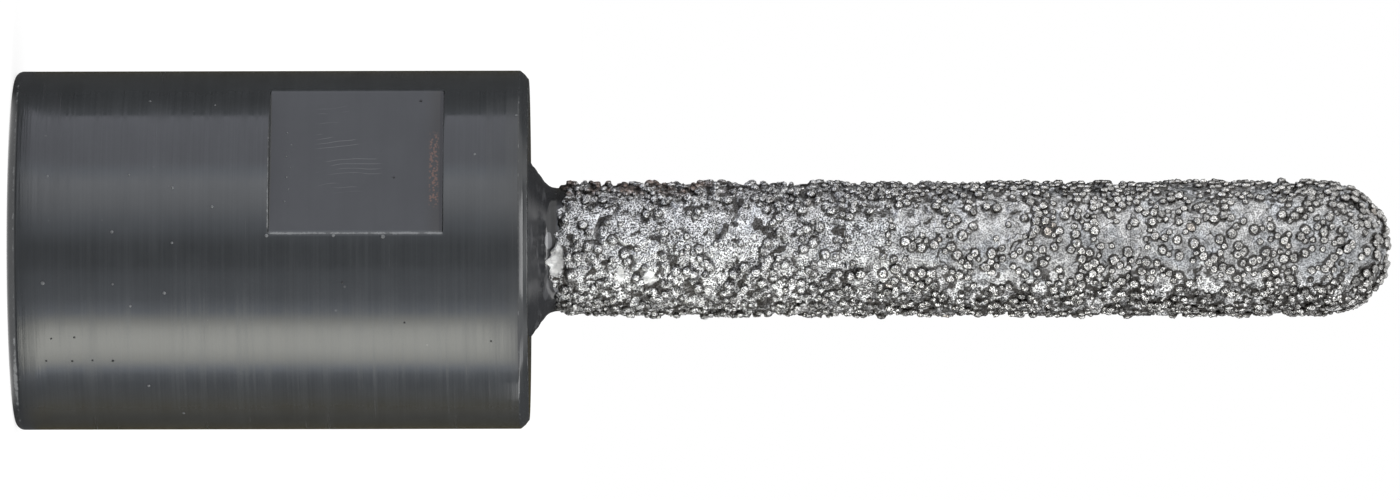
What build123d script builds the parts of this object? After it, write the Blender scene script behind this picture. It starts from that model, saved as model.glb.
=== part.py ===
from build123d import *
import math
import os
import random

# Diamond milling bit that screws on an angle grinder's spindle.
# A round steel head with an M14 thread and two wrench flats carries a round-nosed finger.
# The finger is covered with diamond grains, held in a layer of braze.
# The bit stands on the head's rear face: the origin is that face's centre, and +Z points
# along the spindle axis towards the tip. The two wrench flats face -Y and +Y.
# All sizes are in millimetres.

# Head
HEAD_DIAMETER = 25.0
HEAD_LENGTH = 35.8
REAR_EDGE_RADIUS = 0.6
FRONT_EDGE_CHAMFER = 0.6

# Wrench flats, milled between the rear part of the head and the front collar
ACROSS_FLATS = 22.0
FLAT_LENGTH = 12.0
FRONT_COLLAR = 5.8

# Spindle thread, M14 x 2, as its root cylinder; the tap drill's hole runs on behind it
THREAD_DIAMETER = 14.0
THREAD_LENGTH = 22.0
MOUTH_CHAMFER = 0.9
TAP_DRILL_DIAMETER = 12.0
TAP_DRILL_RUNOUT = 4.0
DRILL_POINT_ANGLE = 118.0

# Neck, a short cone that runs into the finger with a small fillet
NECK_DIAMETER = 12.2
NECK_SLOPE = 52.0
NECK_FILLET = 1.2

# Finger: its length is from the head's front face to the tip of the coating
FINGER_LENGTH = 60.2
CORE_DIAMETER = 8.6

# Coating: a skin of braze, a little rippled, and grains whose crowns stand out of it
BRAZE_THICKNESS = 0.13
BRAZE_RIPPLE = 0.06
LOWEST_CROWN = 0.23
HIGHEST_CROWN = 0.42
GRAIN_PITCH = 0.76
GRAIN_SHARE = 0.42
JITTER_SHARE = 0.22
LOWEST_GRAIN_COUNT = 5
GRAIN_SEED = 7

# Ragged start of the coating on the neck: its mean height above the head, the depth by which
# its first facets dive into the steel, the rings of grains that follow its waves, and the waves
# themselves, as (waves round the finger, height, phase in degrees)
EDGE_HEIGHT = 2.2
EDGE_DEPTH = 0.3
EDGE_FADE_RINGS = 5
EDGE_WAVES = ((1, 0.5, 296.0), (3, 0.25, 40.0), (7, 0.18, 200.0))

# Two places are the same if they lie closer together than this
CLOSE = 0.001

# Places that follow from the sizes
HEAD_RADIUS = HEAD_DIAMETER / 2
CORE_RADIUS = CORE_DIAMETER / 2
COATING_THICKNESS = BRAZE_THICKNESS + HIGHEST_CROWN
TIP_HEIGHT = HEAD_LENGTH + FINGER_LENGTH
NOSE_CENTRE = TIP_HEIGHT - COATING_THICKNESS - CORE_RADIUS
FLAT_CENTRE = HEAD_LENGTH - FRONT_COLLAR - FLAT_LENGTH / 2
NECK_CONE_HEIGHT = (NECK_DIAMETER - CORE_DIAMETER) / 2 / math.tan(math.radians(NECK_SLOPE))
NECK_TOP = HEAD_LENGTH + NECK_CONE_HEIGHT + NECK_FILLET * math.tan(math.radians(NECK_SLOPE / 2))


def edge_ring(solid, radius, height):
    """The solid's round edge of that radius at that height, as a list for fillet or chamfer."""
    at_height = solid.edges().filter_by_position(Axis.Z, height - CLOSE, height + CLOSE)
    round_edges = at_height.filter_by(GeomType.CIRCLE)
    return round_edges.filter_by(lambda edge: abs(edge.radius - radius) < CLOSE)


def turned_blank():
    """The head, neck and round-nosed core of the finger, turned from one bar."""
    half_section = make_face(
        Polyline(
            (CORE_RADIUS, NOSE_CENTRE),
            (CORE_RADIUS, HEAD_LENGTH + NECK_CONE_HEIGHT),
            (NECK_DIAMETER / 2, HEAD_LENGTH),
            (HEAD_RADIUS, HEAD_LENGTH),
            (HEAD_RADIUS, 0),
            (0, 0),
            (0, NOSE_CENTRE + CORE_RADIUS),
        )
        + RadiusArc((0, NOSE_CENTRE + CORE_RADIUS), (CORE_RADIUS, NOSE_CENTRE), CORE_RADIUS)
    )
    blank = revolve(Plane.XZ * half_section, Axis.Z)
    blank = fillet(edge_ring(blank, CORE_RADIUS, HEAD_LENGTH + NECK_CONE_HEIGHT), NECK_FILLET)
    blank = fillet(edge_ring(blank, HEAD_RADIUS, 0), REAR_EDGE_RADIUS)
    return chamfer(edge_ring(blank, HEAD_RADIUS, HEAD_LENGTH), FRONT_EDGE_CHAMFER)


def spindle_hole():
    """The threaded hole's root cylinder, its mouth, and the end that the tap drill leaves."""
    thread_radius = THREAD_DIAMETER / 2
    drill_radius = TAP_DRILL_DIAMETER / 2
    drill_depth = THREAD_LENGTH + TAP_DRILL_RUNOUT
    point_height = drill_radius / math.tan(math.radians(DRILL_POINT_ANGLE / 2))
    half_section = make_face(
        Polyline(
            (0, 0),
            (thread_radius + MOUTH_CHAMFER, 0),
            (thread_radius, MOUTH_CHAMFER),
            (thread_radius, THREAD_LENGTH),
            (drill_radius, THREAD_LENGTH),
            (drill_radius, drill_depth),
            (0, drill_depth + point_height),
            close=True,
        )
    )
    return revolve(Plane.XZ * half_section, Axis.Z)


def wrench_flat_cuts():
    """The two blocks that milling takes away for an open-ended wrench."""
    depth = HEAD_RADIUS - ACROSS_FLATS / 2
    cut = Box(HEAD_DIAMETER, 2 * depth, FLAT_LENGTH)
    offset = ACROSS_FLATS / 2 + depth
    return [Pos(0, side * offset, FLAT_CENTRE) * cut for side in (-1, 1)]


def steel_body():
    """Head, neck and core of the finger: one turned, tapped and milled piece of steel."""
    return turned_blank() - spindle_hole() - wrench_flat_cuts()


def neck_radius(height):
    """Radius of the steel at a height above the rear face, on the neck or the straight finger."""
    slope = math.radians(NECK_SLOPE)
    below_top = NECK_TOP - height
    if below_top <= 0:
        return CORE_RADIUS
    if below_top < NECK_FILLET * math.sin(slope):
        return CORE_RADIUS + NECK_FILLET - math.sqrt(NECK_FILLET**2 - below_top**2)
    return NECK_DIAMETER / 2 - (height - HEAD_LENGTH) * math.tan(slope)


def edge_wave(angle):
    """Rise of the coating's ragged start at an angle round the finger, in millimetres."""
    return sum(
        height * math.sin(waves * angle + math.radians(phase))
        for waves, height, phase in EDGE_WAVES
    )


def surface_point(angle, path, stand):
    """A point over the steel at a distance along the finger's outline, and that far proud of it."""
    straight = NOSE_CENTRE - HEAD_LENGTH - EDGE_HEIGHT
    if path <= straight:
        height = HEAD_LENGTH + EDGE_HEIGHT + path
        radius = neck_radius(height) + stand
    else:
        tilt = (path - straight) / CORE_RADIUS
        radius = (CORE_RADIUS + stand) * math.cos(tilt)
        height = NOSE_CENTRE + (CORE_RADIUS + stand) * math.sin(tilt)
    return Vector(radius * math.cos(angle), radius * math.sin(angle), height)


def grain_ring(path, count, turn, fade, dice):
    """One ring of corner points of the coating: grain crowns, and braze between them.

    Each point is (angle, place). fade is how much of the ragged edge the ring follows.
    """
    ring = []
    for index in range(count):
        step = 2 * math.pi / count
        angle = step * (index + turn + dice.uniform(-JITTER_SHARE, JITTER_SHARE))
        along = path + GRAIN_PITCH * dice.uniform(-JITTER_SHARE, JITTER_SHARE)
        is_grain = dice.random() < GRAIN_SHARE
        rise = dice.uniform(LOWEST_CROWN, HIGHEST_CROWN) if is_grain else dice.uniform(0, BRAZE_RIPPLE)
        stand = -EDGE_DEPTH if fade == 1 else BRAZE_THICKNESS + rise
        ring.append((angle, surface_point(angle, along + fade * edge_wave(angle), stand)))
    return ring


def band(lower, upper):
    """Flat three-cornered facets between two rings, whatever number of points each one has."""
    facets = []
    i = j = 0
    while i < len(lower) or j < len(upper):
        low, low_next = lower[i % len(lower)], lower[(i + 1) % len(lower)]
        up, up_next = upper[j % len(upper)], upper[(j + 1) % len(upper)]
        next_low_turn = low_next[0] + 2 * math.pi * ((i + 1) // len(lower))
        next_up_turn = up_next[0] + 2 * math.pi * ((j + 1) // len(upper))
        if j == len(upper) or (i < len(lower) and next_low_turn < next_up_turn):
            facets.append((low[1], low_next[1], up[1]))
            i += 1
        else:
            facets.append((low[1], up_next[1], up[1]))
            j += 1
    return facets


def cap(ring, centre):
    """Facets from a ring to one point on the axis."""
    return [(ring[i - 1][1], ring[i][1], centre) for i in range(len(ring))]


def diamond_coating(steel):
    """The brazed layer of grains: a facetted skin with a crown for each grain, fitted on the steel."""
    dice = random.Random(GRAIN_SEED)
    straight = NOSE_CENTRE - HEAD_LENGTH - EDGE_HEIGHT
    outline = straight + CORE_RADIUS * math.pi / 2
    rows = round(outline / (GRAIN_PITCH * math.sqrt(3) / 2))
    rings = []
    for row in range(rows):
        path = outline * row / rows
        radius = CORE_RADIUS * math.cos(max(0, path - straight) / CORE_RADIUS)
        count = max(LOWEST_GRAIN_COUNT, round(2 * math.pi * radius / GRAIN_PITCH))
        fade = max(0, 1 - row / EDGE_FADE_RINGS)
        rings.append(grain_ring(path, count, row % 2 / 2, fade, dice))
    facets = cap(rings[0], Vector(0, 0, HEAD_LENGTH + EDGE_HEIGHT))
    for lower, upper in zip(rings, rings[1:]):
        facets += band(lower, upper)
    facets += cap(rings[-1], Vector(0, 0, TIP_HEIGHT))
    skin = Shell([Face(Wire.make_polygon(corners, close=True)) for corners in facets])
    return Solid(skin) - steel


def main():
    os.makedirs("parts", exist_ok=True)
    steel = steel_body()
    coating = diamond_coating(steel)
    for name, shape in (("steel_body", steel), ("diamond_coating", coating)):
        export_step(shape, f"parts/{name}.step")
        print(name, "valid", shape.is_valid, "solids", len(shape.solids()),
              "faces", len(shape.faces()), "volume", round(shape.volume, 1))


main()
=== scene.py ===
import logging
import math
from dataclasses import dataclass
from enum import Enum

import bpy
import numpy as np
from bpy.types import ID, Material, Mesh, Node, NodeSocket, NodeTree, Object
from mathutils import Matrix, Vector


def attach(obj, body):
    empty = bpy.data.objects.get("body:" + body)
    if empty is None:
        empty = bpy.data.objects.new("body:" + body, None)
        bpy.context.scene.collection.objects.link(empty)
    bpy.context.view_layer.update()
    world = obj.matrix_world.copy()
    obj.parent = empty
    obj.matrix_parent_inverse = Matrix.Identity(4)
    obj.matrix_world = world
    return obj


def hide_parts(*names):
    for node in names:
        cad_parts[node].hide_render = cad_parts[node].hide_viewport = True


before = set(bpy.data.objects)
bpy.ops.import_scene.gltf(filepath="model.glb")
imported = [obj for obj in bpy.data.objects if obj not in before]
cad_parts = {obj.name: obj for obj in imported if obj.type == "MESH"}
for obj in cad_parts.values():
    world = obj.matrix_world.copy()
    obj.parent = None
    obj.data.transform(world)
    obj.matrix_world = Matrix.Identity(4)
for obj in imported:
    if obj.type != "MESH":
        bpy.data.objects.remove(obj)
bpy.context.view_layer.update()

# Diamond milling bit, standing on its head's rear face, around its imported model.
# Sizes are in millimetres and angles in degrees; MM turns a size into Blender's metres.
# An angle round the bit counts from the middle of the side that the photograph shows, towards
# the picture's upper edge. A Span is the start and end of a length, such as two heights.

MM = 0.001
SHOWN_SIDE = -56.3
BODY = "root"
Colour = tuple[float, float, float]
Span = tuple[float, float]
Value = object

log = logging.getLogger("milling_bit")


class Surface(Enum):
    """Which finish a face of the turned head wears."""

    PAINTED = 0
    TAPPED = 1


# Nodes


@dataclass(frozen=True)
class Wire:
    """A node's output to calculate with: each step adds a node to the same tree."""

    maker: "NodeMaker"
    socket: NodeSocket

    def __add__(self, other: Value) -> "Wire":
        """The sum of both."""
        return self.maker.math("ADD", self, other)

    def __sub__(self, other: Value) -> "Wire":
        """What the other value leaves of it."""
        return self.maker.math("SUBTRACT", self, other)

    def __rsub__(self, other: Value) -> "Wire":
        """What it leaves of the other value."""
        return self.maker.math("SUBTRACT", other, self)

    def __mul__(self, other: Value) -> "Wire":
        """The product of both."""
        return self.maker.math("MULTIPLY", self, other)

    def __truediv__(self, other: Value) -> "Wire":
        """It, divided by the other value."""
        return self.maker.math("DIVIDE", self, other)

    def __abs__(self) -> "Wire":
        """It, without its sign."""
        return self.maker.math("ABSOLUTE", self)

    def at_least(self, other: Value) -> "Wire":
        """The larger of both."""
        return self.maker.math("MAXIMUM", self, other)

    def at_most(self, other: Value) -> "Wire":
        """The smaller of both."""
        return self.maker.math("MINIMUM", self, other)

    def below(self, limit: Value) -> "Wire":
        """1 where it is less than the limit, else 0."""
        return self.maker.math("LESS_THAN", self, limit)

    def between(self, low: Value, high: Value, out_low: Value = 0.0, out_high: Value = 1.0) -> "Wire":
        """It, brought from one range smoothly into another and held there.

        Args:
            low: where it starts to change.
            high: where it stops changing.
            out_low: the result up to low.
            out_high: the result from high on.

        Returns:
            The result.
        """
        inputs = {0: self, 1: low, 2: high, 3: out_low, 4: out_high}
        return self.maker.wire("ShaderNodeMapRange", inputs, interpolation_type="SMOOTHSTEP")

    def over(self, span: Span, out_low: Value = 0.0, out_high: Value = 1.0) -> "Wire":
        """As between, for a length in metres and a span in millimetres."""
        return self.between(span[0] * MM, span[1] * MM, out_low, out_high)

    def within(self, span: Span, soft: float) -> "Wire":
        """1 for a length in metres within a span in millimetres, with soft ends, else 0."""
        low, high = span
        return self.over((low - soft, low + soft)) * self.over((high - soft, high + soft), 1.0, 0.0)

    def parts(self) -> list["Wire"]:
        """A vector's three parts."""
        outputs = self.maker.add("ShaderNodeSeparateXYZ", {0: self}).outputs
        return [Wire(self.maker, socket) for socket in outputs]

    def vector(self, operation: str, other: Value = (0.0, 0.0, 0.0), output: str = "Vector") -> "Wire":
        """One output of a Vector Math node on it and another vector."""
        return self.maker.wire("ShaderNodeVectorMath", {0: self, 1: other}, output, operation=operation)

    def scaled(self, factor: Value) -> "Wire":
        """A vector, made longer by a factor."""
        return self.maker.wire("ShaderNodeVectorMath", {0: self, "Scale": factor}, operation="SCALE")

    def length(self) -> "Wire":
        """A vector's length."""
        return self.vector("LENGTH", output="Value")

    def dot(self, way: Value) -> "Wire":
        """How far a vector reaches along a direction."""
        return self.vector("DOT_PRODUCT", way, "Value")


class NodeMaker:
    """Adds nodes to one shader or geometry tree, and links them."""

    def __init__(self, tree: NodeTree) -> None:
        """Works on that tree, which starts out empty."""
        self.tree = tree
        tree.nodes.clear()

    def feed(self, socket: NodeSocket, value: Value) -> None:
        """Links an output to a socket, or sets the socket's own value.

        Args:
            socket: the input.
            value: a wire, an output, a node whose first output is meant, or a plain value.
        """
        if isinstance(value, Node):
            value = value.outputs[0]
        if isinstance(value, Wire):
            value = value.socket
        if isinstance(value, NodeSocket):
            self.tree.links.new(value, socket)
        elif socket.type == "RGBA":
            socket.default_value = (*value, 1.0)
        else:
            socket.default_value = value

    def add(self, kind: str, inputs: dict | None = None, **settings: Value) -> Node:
        """Adds a node.

        Args:
            kind: the node's Blender type.
            inputs: what goes into its sockets, by name or place.
            settings: its own properties.

        Returns:
            The node.
        """
        made = self.tree.nodes.new(kind)
        for name, value in settings.items():
            setattr(made, name, value)
        for key, value in (inputs or {}).items():
            self.feed(made.inputs[key], value)
        return made

    def wire(self, kind: str, inputs: dict | None = None, output: str | int = 0, **settings: Value) -> Wire:
        """Adds a node, as add does, and returns one of its outputs."""
        return Wire(self, self.add(kind, inputs, **settings).outputs[output])

    def math(self, operation: str, *values: Value, clamp: bool = False) -> Wire:
        """The result of a Math node."""
        return self.wire("ShaderNodeMath", dict(enumerate(values)), operation=operation, use_clamp=clamp)

    def place(self) -> Wire:
        """The place on the piece, in metres.

        Returns:
            The place.
        """
        if self.tree.type == "GEOMETRY":
            return self.wire("GeometryNodeInputPosition")
        return self.wire("ShaderNodeTexCoord", output="Object")

    def attribute(self, name: str, kind: str = "FLOAT") -> Wire:
        """A named attribute of the piece; only a geometry tree asks for its kind.

        Args:
            name: the attribute's name.
            kind: Blender's name for its type.

        Returns:
            Its value.
        """
        if self.tree.type == "GEOMETRY":
            return self.wire("GeometryNodeInputNamedAttribute", {"Name": name}, "Attribute", data_type=kind)
        return self.wire("ShaderNodeAttribute", output="Fac", attribute_name=name)

    def noise(self, place: Value, scale: Value, detail: float = 2.0, rough: float = 0.5) -> Wire:
        """A noise texture's value at a place, where scale is in waves a metre."""
        inputs = {"Vector": place, "Scale": scale, "Detail": detail, "Roughness": rough}
        return self.wire("ShaderNodeTexNoise", inputs)

    def stretched_noise(self, place: Wire, across: float, along: float, detail: float, rough: float) -> Wire:
        """Noise in streaks round the Z axis or along it, with its own waves a metre for each way."""
        stretched = place.vector("MULTIPLY", (across, across, along))
        return self.noise(stretched, 1.0, detail, rough)

    def grey(self, level: Value) -> Wire:
        """A neutral colour, or a vector with three equal parts."""
        return self.wire("ShaderNodeCombineXYZ", {0: level, 1: level, 2: level})

    def blend(self, share: Value, first: Value, second: Value, kind: str = "MIX") -> Wire:
        """Two colours mixed by a share."""
        inputs = {0: share, 6: first, 7: second}
        return self.wire("ShaderNodeMix", inputs, 2, data_type="RGBA", blend_type=kind)

    def shaded(self, colour: Value, factor: Value) -> Wire:
        """A colour made darker or lighter by a factor."""
        return self.blend(1.0, colour, self.grey(factor), "MULTIPLY")

    def ramp(self, value: Value, stops: list[tuple[float, Colour]]) -> Wire:
        """The colour of a colour ramp with those stops.

        Args:
            value: where to look, from 0 to 1.
            stops: the ramp's positions and colours.

        Returns:
            The colour there.
        """
        made = self.add("ShaderNodeValToRGB", {0: value})
        elements = made.color_ramp.elements
        while len(elements) < len(stops):
            elements.new(0.5)
        for element, (place, colour) in zip(elements, sorted(stops)):
            element.position = place
            element.color = (*colour, 1.0)
        return Wire(self, made.outputs[0])

    def bump(self, strength: Value, depth: float, height: Value) -> Wire:
        """A normal from a height between 0 and 1, where depth is in millimetres."""
        return self.wire("ShaderNodeBump", {"Strength": strength, "Distance": depth * MM, "Height": height})

    def group(self, tree: NodeTree, inputs: dict[str, Value]) -> dict[str, Wire]:
        """Places a node group.

        Args:
            tree: the node group.
            inputs: what goes into its sockets, by name.

        Returns:
            Its outputs, by name.
        """
        kind = "GeometryNodeGroup" if tree.type == "GEOMETRY" else "ShaderNodeGroup"
        outputs = self.add(kind, inputs, node_tree=tree).outputs
        return {socket.name: Wire(self, socket) for socket in outputs}

    def finish(self, shader: Value) -> None:
        """Ends a material's tree with its shader."""
        self.add("ShaderNodeOutputMaterial", {"Surface": shader})

    def principled(self, inputs: dict[str, Value]) -> None:
        """Ends a material's tree with a Principled BSDF."""
        self.finish(self.add("ShaderNodeBsdfPrincipled", inputs))


class GroupMaker(NodeMaker):
    """Makes a node group with named sockets."""

    def __init__(self, name: str, kind: str, inputs: dict[str, str], outputs: dict[str, str]) -> None:
        """Starts the group.

        Args:
            name: the group's name.
            kind: Shader or Geometry.
            inputs: socket kinds by name, without Blender's NodeSocket before them.
            outputs: the same for what it puts out.
        """
        super().__init__(bpy.data.node_groups.new(name, kind + "NodeTree"))
        for way, sockets in (("INPUT", inputs), ("OUTPUT", outputs)):
            for socket, socket_kind in sockets.items():
                kind_name = "NodeSocket" + socket_kind
                self.tree.interface.new_socket(name=socket, in_out=way, socket_type=kind_name)
        self.given = self.add("NodeGroupInput")
        self.result = self.add("NodeGroupOutput")

    def __getitem__(self, name: str) -> Wire:
        """One of the group's inputs."""
        return Wire(self, self.given.outputs[name])

    def some(self, *names: str) -> dict[str, Wire]:
        """Several of the group's inputs, to pass on under the same names."""
        return {name: self[name] for name in names}

    def give(self, name: str, value: Value) -> None:
        """Feeds one of the group's outputs."""
        self.feed(self.result.inputs[name], value)


SOCKET_KINDS = {float: "Float", int: "Int", Material: "Material", Object: "Object"}


class PieceTree(GroupMaker):
    """Makes a geometry tree that gives a piece its final mesh, from sizes that have names."""

    def __init__(self, name: str, values: dict[str, Value]) -> None:
        """Starts the tree.

        Args:
            name: the tree's name.
            values: its sizes, materials and helper objects, by the names of its inputs.
        """
        kinds = {key: SOCKET_KINDS[type(value)] for key, value in values.items()}
        super().__init__(name, "Geometry", {"Geometry": "Geometry", **kinds}, {"Geometry": "Geometry"})
        self.tree.is_modifier = True
        self.values = values

    def store(
        self, geometry: Value, name: str, value: Value, kind: str = "FLOAT", domain: str = "POINT"
    ) -> Node:
        """Keeps a value as a named attribute.

        Args:
            geometry: what gets the attribute.
            name: the attribute's name.
            value: its value.
            kind: Blender's name for its type.
            domain: POINT or INSTANCE.

        Returns:
            The node, whose output is the geometry.
        """
        inputs = {"Geometry": geometry, "Name": name}
        made = self.add("GeometryNodeStoreNamedAttribute", inputs, data_type=kind, domain=domain)
        self.feed(next(socket for socket in made.inputs if socket.name == "Value" and socket.enabled), value)
        return made

    def moved(self, geometry: Value, offset: Value) -> Node:
        """The geometry with each point moved by its offset."""
        return self.add("GeometryNodeSetPosition", {"Geometry": geometry, "Offset": offset})

    def dress(self, geometry: Value) -> None:
        """Ends the tree with the piece in its material."""
        inputs = {"Geometry": geometry, "Material": self["Material"]}
        self.give("Geometry", self.add("GeometryNodeSetMaterial", inputs))

    def bake(self, piece: Object) -> None:
        """Runs the tree on a piece and keeps the result as its plain mesh.

        Args:
            piece: the object, whose mesh the tree starts from.
        """
        modifier = piece.modifiers.new(self.tree.name, "NODES")
        modifier.node_group = self.tree
        for socket in self.tree.interface.items_tree:
            if socket.in_out == "INPUT" and socket.name in self.values:
                modifier[socket.identifier] = self.values[socket.name]
        bpy.context.view_layer.update()
        graph = bpy.context.evaluated_depsgraph_get()
        mesh = bpy.data.meshes.new_from_object(piece.evaluated_get(graph), depsgraph=graph)
        piece.modifiers.remove(modifier)
        old = piece.data
        piece.data = mesh
        mesh.name = piece.name
        bpy.data.meshes.remove(old)


def new_material(name: str) -> tuple[Material, NodeMaker]:
    """A material whose tree starts out empty.

    Args:
        name: its name.

    Returns:
        The material, and the maker of its nodes.
    """
    material = bpy.data.materials.new(name)
    material.use_nodes = True
    return material, NodeMaker(material.node_tree)


# Places on the finger


def place_at(height: float, angle: float, radius: float) -> tuple[float, float, float]:
    """A place in metres from a height and radius in millimetres and an angle round the bit."""
    turn = math.radians(SHOWN_SIDE - angle)
    return (radius * MM * math.cos(turn), radius * MM * math.sin(turn), height * MM)


def reach_to(place: Wire, angle: float) -> Wire:
    """How far a place lies from the axis towards the side at that angle."""
    one_metre = 1 / MM
    return place.dot(place_at(0.0, angle, one_metre))


UPPER_SIDE = 90.0
LOWER_SIDE = -90.0
MARKED_RADIUS = 4.5

# Places that the photograph shows: (height, angle, half length along, half width around)
# Bare braze without grains; its light colour is partly a painted reflection.
BARE_PLACES = ((37.6, -8.0, 0.75, 1.45), (44.2, -27.0, 0.45, 0.75), (42.2, -23.0, 0.3, 0.6))
# Hollows sunk into the braze and darkened with painted shade.
SHADED_HOLLOWS = (
    (38.3, -16.0, 0.22, 0.75), (38.8, 3.5, 0.3, 0.4), (40.6, -6.0, 0.2, 0.5), (41.2, -17.0, 0.22, 0.6),
    (42.85, -15.0, 0.25, 0.65), (44.95, -17.0, 0.24, 0.8), (47.0, -14.0, 0.2, 0.65),
    (50.3, -10.5, 0.22, 0.6), (41.4, -40.0, 0.25, 0.6), (43.9, 28.0, 0.5, 0.35),
    (40.2, 45.0, 0.7, 0.35), (46.8, 52.0, 0.5, 0.3),
)


def near_any(place: Wire, marks: tuple, core: float = 0.72) -> Wire:
    """Finds marked places on the finger.

    Args:
        place: the place to judge.
        marks: the marked places, as above.
        core: the share of a mark's size that counts in full.

    Returns:
        1 within the core of any mark, and 0 away from them.
    """
    found = 0.0
    for height, angle, along, around in marks:
        away = place.vector("SUBTRACT", place_at(height, angle, MARKED_RADIUS))
        sizes = (1 / (around * MM), 1 / (around * MM), 1 / (along * MM))
        distance = away.vector("MULTIPLY", sizes).length()
        found = distance.between(core, 1.0, 1.0, 0.0).at_least(found)
    return found


# Effects that several finishes use


class SharedEffects:
    """Shader node groups, each built once and placed in the finishes with its own values."""

    def __init__(self) -> None:
        """Builds the groups."""
        self.turning = self.build_turning()
        self.wear = self.build_wear()
        self.speckle = self.build_speckle()

    def build_turning(self) -> NodeTree:
        """Fine rings that a lathe leaves round the Z axis, as a height from 0 to 1.

        Returns:
            The group.
        """
        sockets = {"Place": "Vector", "Lines per Metre": "Float", "Drift": "Float"}
        maker = GroupMaker("turning_rings", "Shader", sockets, {"Height": "Float"})
        across, depth, up = maker["Place"].parts()
        drift = maker["Drift"]
        inputs = {0: across * drift, 1: depth * drift, 2: up * maker["Lines per Metre"]}
        place = maker.add("ShaderNodeCombineXYZ", inputs)
        maker.give("Height", maker.noise(place, 1.0, detail=3.0, rough=0.6))
        return maker.tree

    def build_wear(self) -> NodeTree:
        """Where paint is rubbed off an edge: a mask from an edge value and patchy noise.

        Returns:
            The group.
        """
        sockets = {"Place": "Vector", "Edge": "Float", "Patch Scale": "Float", "Amount": "Float"}
        maker = GroupMaker("edge_wear", "Shader", sockets, {"Mask": "Float"})
        patches = maker.noise(maker["Place"], maker["Patch Scale"], detail=4.0, rough=0.65)
        maker.give("Mask", (maker["Edge"] * maker["Amount"] + patches).between(0.95, 1.2))
        return maker.tree

    def build_speckle(self) -> NodeTree:
        """Small round specks strewn at random: a mask of them, and a fine grain beside it.

        Returns:
            The group.
        """
        sockets = {"Place": "Vector", "Specks per Metre": "Float", "Share": "Float", "Size": "Float"}
        maker = GroupMaker("fine_speckle", "Shader", sockets, {"Specks": "Float", "Grain": "Float"})
        place, scale = maker["Place"], maker["Specks per Metre"]
        cells = maker.add("ShaderNodeTexVoronoi", {"Vector": place, "Scale": scale})
        dice = Wire(maker, cells.outputs["Color"]).parts()
        distance = Wire(maker, cells.outputs["Distance"])
        spots = distance.between(maker["Size"] * dice[1], 0.0)
        maker.give("Specks", spots * dice[0].below(maker["Share"]))
        maker.give("Grain", maker.noise(place, scale, detail=1.0))
        return maker.tree


# Finishes


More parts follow.
